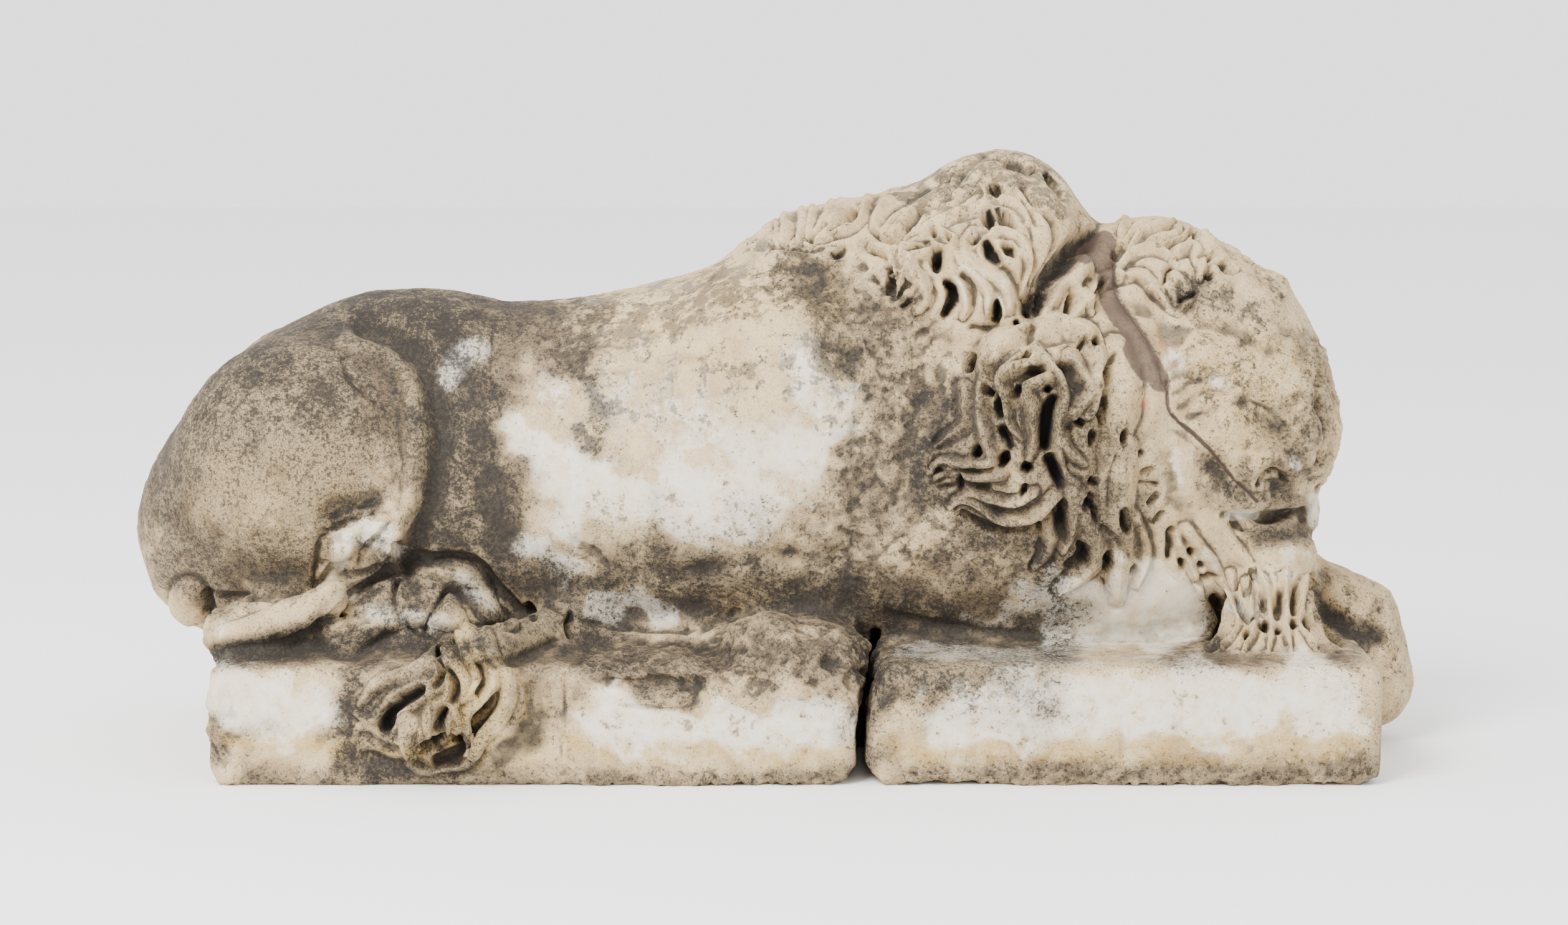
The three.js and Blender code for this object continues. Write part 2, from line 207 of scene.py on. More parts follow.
withersLocks = {
    "first": (12, 4, (1218, 351), (1202, 370), (1183, 384), (1159, 411)),
    "second": (14, 4, (1233, 349), (1237, 358), (1220, 377), (1196, 392), (1177, 411)),
    "third": (12, 4, (1244, 355), (1246, 370), (1233, 384), (1205, 399)),
    "fourth": (22, 5, (1271, 327), (1260, 345), (1260, 364), (1256, 392)),
    "fifth": (18, 4, (1286, 332), (1287, 355), (1278, 384)),
    "sixth": (16, 4, (1304, 336), (1299, 358), (1295, 381)),
    "seventh": (24, 5, (1338, 323), (1330, 345), (1319, 362), (1304, 379)),
    "eighth": (26, 5, (1377, 306), (1360, 317), (1345, 336), (1328, 366), (1308, 384)),
    "ninth": (20, 4, (1398, 308), (1388, 328), (1373, 355), (1345, 370), (1317, 384)),
}
beardLocks = {
    "jawFirst": (24, 6, (1905, 850), (1925, 880), (1945, 905), (1965, 940)),
    "jawSecond": (18, 6, (1885, 860), (1900, 890), (1918, 925), (1930, 960)),
    "fanFirst": (16, 6, (1975, 920), (1978, 960), (1985, 1000), (1960, 1040)),
    "fanSecond": (16, 7, (2000, 930), (2008, 975), (2012, 1010), (1995, 1045)),
    "fanThird": (16, 7, (2026, 930), (2036, 970), (2040, 1010), (2036, 1045)),
    "fanFourth": (16, 7, (2056, 930), (2064, 970), (2066, 1010), (2072, 1045)),
    "fanFifth": (16, 6, (2084, 925), (2088, 965), (2092, 1000), (2112, 1040)),
}
tuftLocks = {
    "lowest": (18, 3, (650, 1209), (628, 1208), (604, 1196), (582, 1199), (569, 1218)),
    "low": (18, 3.4, (645, 1190), (617, 1182), (597, 1166), (578, 1166), (566, 1188)),
    "small": (16, 4, (643, 1146), (638, 1168), (622, 1188)),
    "upperLeft": (26, 5, (716, 1034), (692, 1057), (665, 1080), (636, 1088), (607, 1096), (587, 1120),
                  (578, 1130)),
    "secondLeft": (20, 4.5, (682, 1096), (651, 1108), (631, 1120), (614, 1140), (594, 1154), (571, 1143)),
    "mainLeft": (30, 7, (700, 1100), (681, 1113), (656, 1124), (646, 1142), (652, 1164), (652, 1190),
                 (658, 1212)),
    "mainInner": (22, 6, (715, 1060), (722, 1098), (716, 1120), (692, 1136), (688, 1160), (690, 1184),
                  (668, 1210)),
    "innerRidge": (16, 5, (722, 1142), (719, 1165), (710, 1192), (704, 1206)),
    "fourth": (20, 6, (722, 1026), (718, 1052), (733, 1072), (744, 1092), (742, 1114), (728, 1130),
               (734, 1160), (728, 1190)),
    "third": (18, 6, (742, 1018), (746, 1046), (760, 1068), (765, 1088), (756, 1108), (742, 1122)),
    "second": (22, 6.5, (757, 1016), (764, 1047), (784, 1072), (792, 1092), (780, 1112), (758, 1127),
               (744, 1146), (744, 1168), (758, 1190), (756, 1206)),
    "outer": (26, 6.5, (778, 1020), (788, 1052), (808, 1080), (816, 1106), (812, 1132), (796, 1160),
              (776, 1182), (762, 1206), (742, 1228), (702, 1234)),
    "foot": (18, 5, (658, 1226), (676, 1236), (708, 1236)),
}

limbForms = {  # limbs and toes on the plinth, given the edges that the plain solid lacks
    "shin": (62, 4, (620, 905), (570, 940), (510, 970), (440, 998), (338, 1024)),
    "secondToe": (44, 7, (680, 925), (735, 925), (770, 950), (790, 985), (826, 1005)),
    "tailRoot": (60, 5, (300, 960), (305, 1000)),
    "heel": (84, 6, (556, 1004), (600, 978), (648, 962), (700, 975), (740, 1006)),
}
chestLocks = {  # worn low locks between shoulder and mane
    "first": (40, 1.4, (1350, 430), (1330, 490), (1345, 550), (1330, 610)),
    "second": (36, 1.4, (1405, 500), (1385, 560), (1400, 620), (1380, 680)),
    "third": (34, 1.4, (1460, 520), (1440, 580), (1455, 640), (1430, 700)),
    "fourth": (30, 1.8, (1505, 560), (1490, 610), (1500, 660), (1475, 700)),
    "fifth": (40, 1.2, (1440, 700), (1420, 760), (1440, 820), (1410, 880)),
    "sixth": (36, 1.2, (1395, 690), (1380, 760), (1390, 830), (1375, 900)),
}

# Channels: width in pixels, depth in millimetres at the first point and at the last, and the line.
limbChannels = {
    "tailHole": (14, 12, 10, (848, 973), (856, 990)),
    "tailGap": (15, 12, 8, (914, 982), (916, 1018)),
    "underShin": (22, 2.5, 2, (345, 1054), (450, 1042), (540, 1016), (620, 980)),
    "overShin": (12, 3, 4, (340, 954), (370, 957), (410, 955), (490, 948), (530, 918)),
    "overFoot": (16, 5, 5, (560, 955), (610, 925), (660, 905), (700, 898), (760, 902), (800, 945),
                 (840, 985)),
    "kneeCleft": (8, 6, 4, (628, 838), (606, 866), (583, 892)),
    "tailRootEdge": (9, 6, 5, (330, 950), (338, 980), (330, 1020)),
    "underTail": (18, 2.5, 2.5, (760, 1068), (830, 1058), (890, 1030)),
    "shinValley": (16, 5, 4, (470, 1030), (520, 1000), (560, 965), (598, 932), (622, 905)),
    "footRim": (10, 6, 5, (638, 936), (632, 962), (642, 990), (668, 1014), (690, 1022)),
    "footFacet": (10, 6, 5, (714, 950), (700, 975), (686, 1000), (684, 1022)),
    "kneeRim": (9, 3.5, 3, (500, 950), (507, 905), (514, 868), (545, 846), (604, 824)),
    "kneeFoot": (9, 3, 2, (509, 903), (548, 922), (596, 908), (634, 878)),
    "kneeCleftLow": (7, 4, 2, (583, 890), (574, 908)),
}
maneChannels = {
    "crownFirst": (7, 4, 3, (1585, 257), (1603, 254)),
    "crownSecond": (12, 7, 5, (1618, 258), (1634, 260), (1650, 274), (1660, 272)),
    "crownThird": (12, 11, 9, (1680, 280), (1691, 296), (1706, 316)),
    "humpFirst": (18, 12, 11, (1592, 300), (1600, 307)),
    "humpSecond": (17, 13, 12, (1600, 337), (1612, 346), (1622, 356)),
    "humpThird": (15, 12, 11, (1588, 336), (1584, 346), (1590, 359)),
    "curlFirst": (18, 13, 12, (1583, 390), (1587, 403), (1599, 417)),
    "curlSecond": (14, 12, 11, (1614, 394), (1627, 405)),
    "fringeEye": (14, 12, 4, (1492, 391), (1476, 392), (1460, 400)),
    "fringeSlot": (17, 14, 13, (1505, 402), (1503, 415), (1504, 428)),
    "fringeCrescent": (17, 14, 13, (1523, 456), (1530, 470), (1528, 488), (1517, 503)),
    "backDot": (12, 10, 10, (1424, 431), (1426, 432)),
    "backSlot": (9, 10, 9, (1430, 445), (1428, 465)),
    "stepFirst": (12, 11, 11, (1498, 368), (1499, 369)),
    "stepSecond": (11, 10, 10, (1522, 376), (1523, 377)),
    "sweep": (13, 6, 5, (1505, 330), (1480, 338), (1465, 350), (1452, 368), (1440, 380)),
    "curlTop": (8, 8, 6, (1560, 387), (1570, 375), (1585, 368)),
    "fringeMiddle": (14, 7, 6, (1545, 443), (1555, 455), (1560, 475), (1561, 488)),
    "fringeLast": (16, 13, 13, (1597, 487), (1598, 500), (1595, 512)),
    "fringeHook": (12, 6, 4, (1450, 490), (1465, 480)),
    "humpGroove": (14, 5, 4, (1570, 302), (1555, 315), (1540, 325)),
    "humpLine": (7, 4, 3, (1525, 282), (1515, 300)),
    "backLow": (10, 9, 7, (1398, 401), (1418, 412)),
    "napeFirst": (8, 12, 10, (1664, 505), (1670, 490), (1678, 470)),
    "napeSecond": (10, 10, 9, (1722, 475), (1716, 502)),
    "napeThird": (10, 10, 7, (1772, 447), (1758, 472)),
    "napeDot": (14, 12, 12, (1630, 518), (1632, 519)),
    "napeGrey": (14, 5, 3, (1658, 530), (1650, 548)),
    "crestTwin": (8, 10, 9, (1643, 502), (1655, 506)),
    "grooveFirst": (5, 2, 2, (1507, 330), (1530, 330), (1552, 333), (1570, 325), (1585, 310)),
    "grooveSecond": (6, 3, 2, (1640, 320), (1655, 340), (1664, 362)),
    "grooveThird": (7, 4, 3, (1443, 390), (1437, 410), (1442, 440), (1436, 475)),
    "grooveFourth": (6, 3, 2, (1470, 440), (1473, 455), (1468, 475)),
    "grooveFifth": (7, 4, 3, (1660, 400), (1662, 430), (1655, 460)),
    "sideBackSlot": (10, 13, 10, (1560, 572), (1555, 580), (1550, 592)),
    "sideDot": (12, 12, 11, (1585, 624), (1585, 628)),
    "sideTwin": (12, 14, 14, (1600, 638), (1600, 650), (1601, 668)),
    "archFirst": (13, 14, 3, (1652, 564), (1640, 573), (1622, 586)),
    "archSecond": (19, 14, 4, (1674, 590), (1655, 594), (1638, 602), (1624, 616)),
    "archThird": (12, 12, 9, (1634, 618), (1628, 634)),
    "swirlDot": (12, 13, 12, (1682, 621), (1682, 625)),
    "longSlot": (20, 15, 15, (1690, 640), (1680, 662), (1678, 685), (1677, 700), (1677, 716)),
    "longSlotLow": (20, 15, 13, (1684, 738), (1691, 748), (1697, 762), (1702, 780)),
    "frontSlot": (15, 13, 3, (1701, 583), (1712, 590), (1722, 604), (1732, 622)),
    "eyeRight": (13, 14, 13, (1756, 548), (1756, 554)),
    "eyeLeft": (8, 10, 8, (1740, 546), (1734, 556)),
    "cheekSlot": (14, 14, 13, (1776, 592), (1775, 600), (1775, 612)),
    "cheekShallow": (13, 5, 4, (1787, 572), (1780, 586)),
    "cheekLong": (15, 14, 8, (1774, 630), (1772, 645), (1770, 660), (1769, 680)),
    "cheekEye": (13, 13, 12, (1733, 680), (1738, 678)),
    "cheekPool": (22, 4, 5, (1712, 672), (1712, 684)),
    "cheekDrop": (12, 13, 7, (1754, 694), (1752, 712)),
    "jawSlot": (12, 13, 9, (1804, 692), (1802, 710)),
    "backLong": (13, 14, 11, (1605, 688), (1613, 702), (1622, 718)),
    "backDrop": (12, 13, 10, (1565, 720), (1566, 733)),
    "lowWide": (19, 14, 14, (1612, 730), (1608, 745)),
    "lowRound": (18, 14, 14, (1644, 752), (1650, 752)),
    "fringeShade": (12, 5, 4, (1560, 525), (1580, 526), (1600, 520)),
    "lowSlot": (11, 12, 10, (1645, 782), (1641, 795)),
    "tongueSlot": (10, 10, 9, (1540, 765), (1541, 785)),
    "tongueFlat": (12, 6, 5, (1568, 783), (1582, 784)),
    "longTail": (19, 14, 5, (1704, 812), (1701, 826), (1702, 845), (1708, 862)),
    "lowEye": (15, 13, 13, (1756, 774), (1758, 776)),
    "lowBean": (18, 14, 13, (1750, 803), (1742, 810)),
    "lowDrop": (8, 9, 7, (1758, 820), (1760, 836)),
    "lowPit": (17, 14, 5, (1738, 880), (1737, 895), (1715, 908)),
    "tipSlot": (11, 12, 9, (1775, 890), (1778, 905), (1776, 920)),
    "tipLine": (5, 3, 2, (1772, 935), (1778, 950), (1788, 962)),
    "tipRight": (15, 12, 11, (1801, 820), (1806, 846)),
    "lowBack": (9, 10, 9, (1664, 842), (1668, 852)),
    "tongueUnder": (9, 6, 6, (1545, 822), (1560, 832), (1590, 847), (1640, 848), (1680, 832),
                    (1700, 806)),
    "tongueGapFirst": (7, 5, 4, (1500, 755), (1550, 756), (1590, 752)),
    "tongueGapSecond": (7, 5, 4, (1510, 782), (1545, 778), (1590, 783)),
    "curlValley": (12, 5, 3, (1603, 424), (1620, 440), (1630, 456), (1634, 480)),
    "crestValley": (9, 4, 3, (1640, 300), (1662, 330), (1688, 356), (1694, 385), (1682, 420)),
    "broadFirst": (6, 3, 2, (1770, 845), (1788, 862), (1812, 896)),
    "broadSecond": (5, 2.5, 2, (1786, 730), (1780, 770), (1778, 810)),
    "forkHole": (10, 10, 8, (1823, 914), (1821, 922)),
}
jawChannels = {
    "first": (10, 9, 9, (1836, 729), (1836, 731)),
    "second": (9, 9, 8, (1850, 753), (1838, 762)),
    "third": (8, 4, 4, (1835, 776), (1857, 776)),
    "fourth": (10, 9, 8, (1857, 795), (1848, 807)),
    "fifth": (9, 5, 5, (1866, 825), (1855, 838)),
    "sixth": (9, 9, 8, (1882, 850), (1877, 895)),
    "seventh": (12, 10, 10, (1913, 887), (1913, 889)),
    "eighth": (9, 9, 8, (1898, 900), (1898, 912)),
    "ninth": (10, 9, 9, (1929, 907), (1929, 909)),
    "tenth": (9, 9, 8, (1921, 934), (1950, 924)),
    "fanSlot": (11, 10, 8, (1980, 948), (1984, 965), (2003, 993)),
    "fanDot": (12, 9, 9, (2000, 951), (2000, 953)),
    "fanShallow": (9, 4, 4, (2000, 926), (2000, 928)),
    "fanSecond": (10, 10, 9, (2027, 960), (2028, 972)),
    "fanThird": (10, 10, 8, (2054, 955), (2051, 988)),
    "fanFourth": (10, 10, 8, (2078, 945), (2077, 980)),
    "fanLowFirst": (15, 10, 9, (2030, 1002), (2030, 1004)),
    "fanLowSecond": (10, 9, 8, (2052, 1009), (2052, 1011)),
    "fanLowThird": (14, 9, 8, (2076, 999), (2076, 1001)),
    "fanLowFourth": (12, 9, 8, (2001, 1016), (2001, 1018)),
    "fanCave": (20, 8, 7, (1950, 962), (1968, 990), (1962, 1015), (1942, 1035)),
    "chestLine": (6, 4, 3, (1846, 1024), (1900, 1019), (1933, 1017)),
    "behindFan": (20, 8, 6, (2095, 995), (2120, 1017), (2149, 1039)),
    "mouthCorner": (14, 8, 6, (1984, 838), (1996, 850)),
}
foreChannels = {
    "first": (9, 7, 5, (1789, 409), (1798, 391)),
    "second": (9, 8, 6, (1860, 397), (1878, 387)),
    "hook": (7, 4, 3, (1880, 385), (1899, 378), (1908, 368), (1903, 354), (1896, 343)),
    "dot": (13, 9, 9, (1919, 369), (1919, 371)),
    "inner": (7, 3, 3, (1863, 366), (1885, 361)),
    "innerTop": (7, 3, 3, (1862, 354), (1876, 350)),
    "slanted": (9, 6, 4, (1869, 450), (1875, 435), (1885, 420)),
    "brow": (9, 9, 8, (1926, 413), (1946, 408)),
    "browPit": (15, 9, 7, (1936, 440), (1944, 440)),
    "browShallow": (14, 7, 4, (1963, 425), (1978, 434)),
    "low": (9, 8, 6, (1896, 481), (1919, 469)),
    "edge": (14, 4, 3, (2016, 427), (2039, 445)),
}
withersChannels = {
    "first": (10, 7, 5, (1203, 383), (1220, 368), (1227, 356)),
    "second": (10, 8, 7, (1245, 347), (1260, 338)),
    "third": (8, 6, 5, (1230, 393), (1238, 390)),
    "fourth": (6, 4, 4, (1302, 328), (1315, 327)),
    "fifth": (13, 8, 6, (1373, 334), (1364, 355)),
    "sixth": (9, 6, 5, (1300, 384), (1325, 362)),
    "seventh": (11, 8, 6, (1342, 409), (1353, 399)),
    "eighth": (16, 5, 4, (1382, 426), (1386, 428)),
    "ninth": (6, 4, 3, (1394, 442), (1409, 455), (1414, 472)),
    "boundary": (8, 3, 3, (1215, 398), (1252, 396), (1299, 400), (1320, 395)),
    "stepLine": (12, 6, 6, (1400, 368), (1412, 381), (1430, 386), (1450, 381), (1475, 375), (1500, 376),
                 (1520, 384)),
}
tuftChannels = {
    "rootSlot": (11, 10, 9, (705, 1042), (707, 1064), (707, 1086), (700, 1100)),
    "middleSlot": (10, 9, 8, (719, 1074), (731, 1094), (733, 1114), (729, 1124)),
    "rightSlot": (8, 7, 6, (768, 1066), (776, 1082), (775, 1100), (766, 1112)),
    "rightPool": (15, 5, 4, (794, 1116), (778, 1130), (758, 1146)),
    "leftGap": (17, 11, 10, (676, 1108), (655, 1119), (637, 1133), (622, 1152), (616, 1166)),
    "innerGap": (16, 11, 9, (712, 1142), (706, 1160), (700, 1184), (676, 1205)),
    "lowGap": (17, 10, 8, (734, 1182), (744, 1194), (736, 1208), (702, 1222)),
}

# Cracks: width in pixels, depth in millimetres.
cracks = {
    "headBreak": (5, 2.2, (1872, 610), (1875, 653), (1889, 674), (1916, 697), (1947, 728), (1972, 760),
                  (1998, 785), (2016, 804)),
    "bandEdge": (5, 1.6, (1784, 395), (1787, 440), (1793, 480), (1830, 532), (1852, 570), (1866, 618)),
    "foreheadHair": (4, 1.5, (1837, 456), (1850, 453), (1867, 456)),
    "haunch": (5, 2, (545, 575), (560, 610), (590, 640), (620, 660)),
    "kneeStreak": (6, 1.5, (530, 834), (566, 818), (604, 812)),
    "plinthHair": (4, 2, (903, 1080), (906, 1130), (902, 1190), (905, 1255)),
    "shoulderHair": (4, 1.5, (1300, 400), (1318, 440), (1322, 465)),
    "bellyHair": (4, 1.5, (790, 520), (786, 590), (794, 640)),
    "chestHair": (4, 1.5, (1345, 770), (1385, 700), (1430, 660), (1475, 640)),
    "chestHairLow": (4, 1.5, (1250, 905), (1300, 830), (1345, 770)),
    "flankHair": (3, 1.2, (1215, 660), (1250, 700), (1300, 760)),
}

# Broad swellings and hollows of the flesh: width in pixels, rise in millimetres (negative for a hollow).
fleshForms = {
    "headCleft": (36, -17, (1748, 384), (1722, 400), (1698, 428), (1672, 458), (1650, 492)),
    "cheekBulge": (70, 7, (1905, 720), (1912, 775)),
    "crackStep": (40, -4, (1900, 700), (1940, 740), (1985, 790)),
    "browRidge": (70, 7, (1930, 566), (1985, 580), (2036, 612)),
    "browHollow": (50, -2, (1885, 530), (1930, 528), (1990, 540)),
    "browSecond": (50, 3, (1900, 505), (1960, 500), (2030, 530)),
    "fanFirst": (16, -1.2, (1880, 612), (1910, 592), (1960, 588)),
    "fanSecond": (14, -1.4, (1884, 632), (1920, 610), (1975, 602)),
    "fanThird": (16, -1.0, (1890, 655), (1930, 632), (1985, 622)),
    "fanFourth": (14, -1.2, (1876, 590), (1905, 572), (1950, 566)),
    "fanFifth": (16, -1.0, (1905, 675), (1945, 655), (1990, 648)),
    "eyeHollow": (60, -8, (2004, 652), (2044, 676)),
    "eyeLine": (9, -2.5, (2016, 645), (2040, 655), (2062, 680)),
    "cheekSwell": (110, 7, (1980, 700), (2000, 735)),
    "noseBridge": (60, 7, (2072, 570), (2090, 640), (2096, 700)),
    "nostril": (9, -9, (2017, 776), (2022, 760), (2036, 751), (2052, 756), (2062, 772)),
    "nostrilWing": (26, 6, (2004, 746), (2036, 730), (2068, 746)),
    "nostrilPit": (24, -5, (2034, 772), (2048, 776)),
    "lipUpper": (30, 6, (1960, 798), (2010, 806), (2060, 804), (2095, 790)),
    "lipUnder": (16, -8, (1966, 828), (2000, 830), (2040, 830), (2070, 822)),
    "jawTop": (46, -2, (2012, 852), (2050, 850), (2095, 846)),
    "jawEdge": (34, 4, (2000, 892), (2040, 886), (2100, 878)),
    "lipFold": (12, -7, (1975, 842), (1992, 868), (2014, 900)),
    "jawFront": (60, 6, (2030, 912), (2096, 905)),
    "fanTop": (50, 9, (1985, 938), (2040, 944), (2092, 938)),
    "headEdge": (14, -6, (2112, 545), (2106, 610), (2107, 646), (2118, 686), (2112, 740)),
    "headEdgeRidge": (22, 4, (2094, 560), (2088, 620), (2094, 690), (2096, 745)),
    "lipCorner": (26, 5, (2100, 806), (2104, 842)),
    "haunchCrease": (44, -10, (585, 520), (645, 545), (685, 595), (706, 650), (712, 705), (700, 780),
                     (680, 850), (655, 890)),
    "haunchEdge": (40, 4, (560, 545), (620, 568), (655, 615), (672, 680), (660, 760), (640, 820)),
    "haunchFold": (12, -3, (638, 660), (646, 740), (638, 819)),
    "kneeShelf": (70, -4, (540, 872), (580, 856), (615, 842)),
    "kneeShelfUnder": (12, -3, (520, 905), (560, 912), (610, 880), (640, 850)),
    "shoulderEdge": (70, -3, (1300, 440), (1350, 540), (1385, 640), (1370, 760), (1362, 900)),
    "elbowHollow": (60, -6, (1360, 880), (1365, 960)),
    "stumpLump": (60, 15, (1195, 1030), (1240, 1018)),
    "stumpHollow": (50, -6, (1150, 1080), (1220, 1095)),
    "stumpEdge": (34, -8, (1330, 1060), (1370, 1090)),
    "ledgeBreak": (50, -12, (990, 1085), (1060, 1090), (1110, 1100)),
    "ledgeLine": (12, -5, (1000, 1132), (1050, 1136), (1100, 1134), (1126, 1118)),
    "ledgeLip": (26, 4, (960, 1050), (1040, 1048), (1100, 1055)),
    "flankHollow": (90, -5, (720, 560), (760, 700), (820, 860)),
    "bellyLine": (14, -5, (880, 970), (960, 1000), (1100, 1010), (1180, 985)),
    "bellyFold": (30, -3, (920, 870), (1000, 910), (1120, 915), (1250, 890), (1350, 900)),
    "chestFold": (16, -4, (1420, 985), (1560, 1010), (1700, 1020), (1850, 1022)),
    "pawGap": (40, -8, (2130, 985), (2180, 1010), (2205, 1020)),
    "footHollow": (60, -10, (668, 974), (676, 980)),
    "footFacet": (48, 6, (716, 988), (738, 1010)),
    "kneeLip": (22, 5, (634, 832), (636, 856), (612, 886)),
    "kneeErosion": (56, -5, (540, 818), (590, 812)),
    "mouthGap": (13, -6, (2022, 826), (2045, 824), (2068, 819)),
}

roughPlaces = {  # broken stone: width in pixels, and where it runs
    "stump": (120, (1150, 1060), (1250, 1050), (1370, 1070)),
    "ledge": (60, (960, 1060), (1100, 1070)),
    "knee": (60, (540, 850), (610, 850)),
    "shinEnd": (40, (335, 990), (338, 1045)),
    "corner": (70, (345, 1150), (355, 1230)),
    "headBreak": (60, (2130, 570), (2125, 680), (2135, 760)),
    "chest": (160, (1420, 500), (1430, 650), (1400, 850)),
    "headTop": (46, (1950, 372), (2010, 405), (2050, 455)),
    "underside": (40, (950, 1255), (1350, 1258), (1800, 1258), (2190, 1250)),
}
millimetre = 0.001
photoSideLimit = 0.02  # farther back than this, a surface belongs to the hidden side


def mirroredView(points, normals):
    # Both sides are carved to one pattern, so a point of the hidden side is looked up as its mirror image.
    side = np.where(points[:, 1] > 0, -1.0, 1.0)
    mirror = np.stack([np.ones_like(side), side, np.ones_like(side)], 1)
    points, normals = points * mirror, normals * mirror
    towards = cameraPlace - points
    towards /= np.linalg.norm(towards, axis=1)[:, None]
    facing = np.einsum("ij,ij->i", normals, towards)
    u, v = photoPixels(points)
    return u, v, facing


def meshArrays(mesh):
    points = np.empty(len(mesh.vertices) * 3, np.float32)
    mesh.vertices.foreach_get("co", points)
    normals = np.empty(len(mesh.vertices) * 3, np.float32)
    mesh.vertex_normals.foreach_get("vector", normals)
    return points.reshape(-1, 3).astype(float), normals.reshape(-1, 3).astype(float)


def setPoints(mesh, points):
    mesh.vertices.foreach_set("co", points.astype(np.float32).ravel())
    mesh.update()


class Neighbours:
    # averages a value over each vertex's neighbours
    def __init__(self, mesh):
        edges = np.empty(len(mesh.edges) * 2, np.int64)
        mesh.edges.foreach_get("vertices", edges)
        self.a, self.b = edges.reshape(-1, 2).T
        self.count = len(mesh.vertices)
        ends = np.bincount(self.a, minlength=self.count) + np.bincount(self.b, minlength=self.count)
        self.ends = np.maximum(ends, 1)

    def mean(self, value):
        if value.ndim == 2:
            return np.stack([self.mean(column) for column in value.T], 1)
        total = np.bincount(self.a, value[self.b], self.count)
        total += np.bincount(self.b, value[self.a], self.count)
        return total / self.ends

    def smoothed(self, value, rounds, strength=0.5):
        weight = strength if np.isscalar(strength) or value.ndim == 1 else strength[:, None]
        for _ in range(rounds):
            value = value + weight * (self.mean(value) - value)
        return value


def applyModifier(piece, kind, **settings):
    bpy.ops.object.select_all(action="DESELECT")
    piece.select_set(True)
    bpy.context.view_layer.objects.active = piece
    modifier = piece.modifiers.new(kind.title(), kind)
    for name, value in settings.items():
        setattr(modifier, name, value)
    bpy.ops.object.modifier_apply(modifier=modifier.name)


stone = {
    "roughVoxel": 0.005,
    "fineVoxel": 0.0024,
    "softening": 4,  # rounds that take the edges off the plinth
    "bodySoftening": 12,  # and those that round the body's facets
    "maneSoftening": 34,  # rounds that wash the CAD's plain locks out before finer ones are carved
    "tuftShare": 0.35,  # of that, on the tail's tuft
    "maneSink": 0.004,  # the ground between the locks lies this much deeper
    "farShare": 0.6,  # relief of the hidden side against the side that is seen
    "restTriangles": 95000,  # all but the carved hair and face
    "triangles": 196000,
    "plinthTop": 0.091,
    "plinthEnd": 0.44,  # rump and paw hang over the plinth farther out than this
    "underside": 0.0015,  # what lies lower is the flat underside
    "maneRim": 6,  # rounds that fade the washed hair into the rest
    "plinthRim": 4,
    "tuftRim": 3,
    "maneTurn": -0.3,  # hair that faces farther away than this keeps the solid's form
    "faceTurn": -0.1,
    "ballStep": 0.003,  # from one ball to the next where stone is added
}

maneOutline = {  # the carved hair on the photograph
    "hump": ((1400, 300), (1480, 250), (1600, 225), (1700, 240), (1760, 340), (1730, 400), (1650, 510),
             (1600, 530), (1500, 520), (1420, 500), (1385, 420)),
    "withers": ((1150, 420), (1210, 335), (1280, 315), (1400, 290), (1420, 380), (1300, 415)),
    "side": ((1560, 520), (1660, 500), (1800, 420), (1800, 560), (1860, 700), (1850, 960), (1640, 960),
             (1480, 830), (1480, 720), (1540, 560)),
    "brow": ((1770, 330), (1900, 315), (2040, 380), (2060, 450), (1930, 500), (1780, 480)),
    "beard": ((1830, 700), (1900, 850), (2110, 900), (2130, 1060), (1930, 1060), (1860, 920)),
}

faceOutline = {  # the face, the tuft, the hind foot and the knee, carved as finely as the hair
    "face": ((1860, 600), (1990, 540), (2150, 560), (2170, 780), (2130, 960), (1960, 900), (1860, 720)),
    "tuft": ((550, 1070), (680, 1000), (830, 1020), (840, 1150), (760, 1250), (640, 1240), (550, 1220)),
    "foot": ((500, 800), (650, 800), (660, 900), (780, 890), (930, 960), (920, 1040), (780, 1070),
             (560, 1030), (480, 960)),
}


def insideOutline(u, v, outline):
    inside = np.zeros(len(u), bool)
    for (u0, v0), (u1, v1) in zip(outline, outline[1:] + outline[:1]):
        if v0 == v1:
            continue
        crosses = (v0 > v) != (v1 > v)
        inside ^= crosses & (u < (u1 - u0) * (v - v0) / (v1 - v0) + u0)
    return inside


def maneShare(u, v, facing):
    inside = np.zeros(len(u), bool)
    for outline in maneOutline.values():
        inside |= insideOutline(u, v, outline)
    return inside & (facing > stone["maneTurn"])


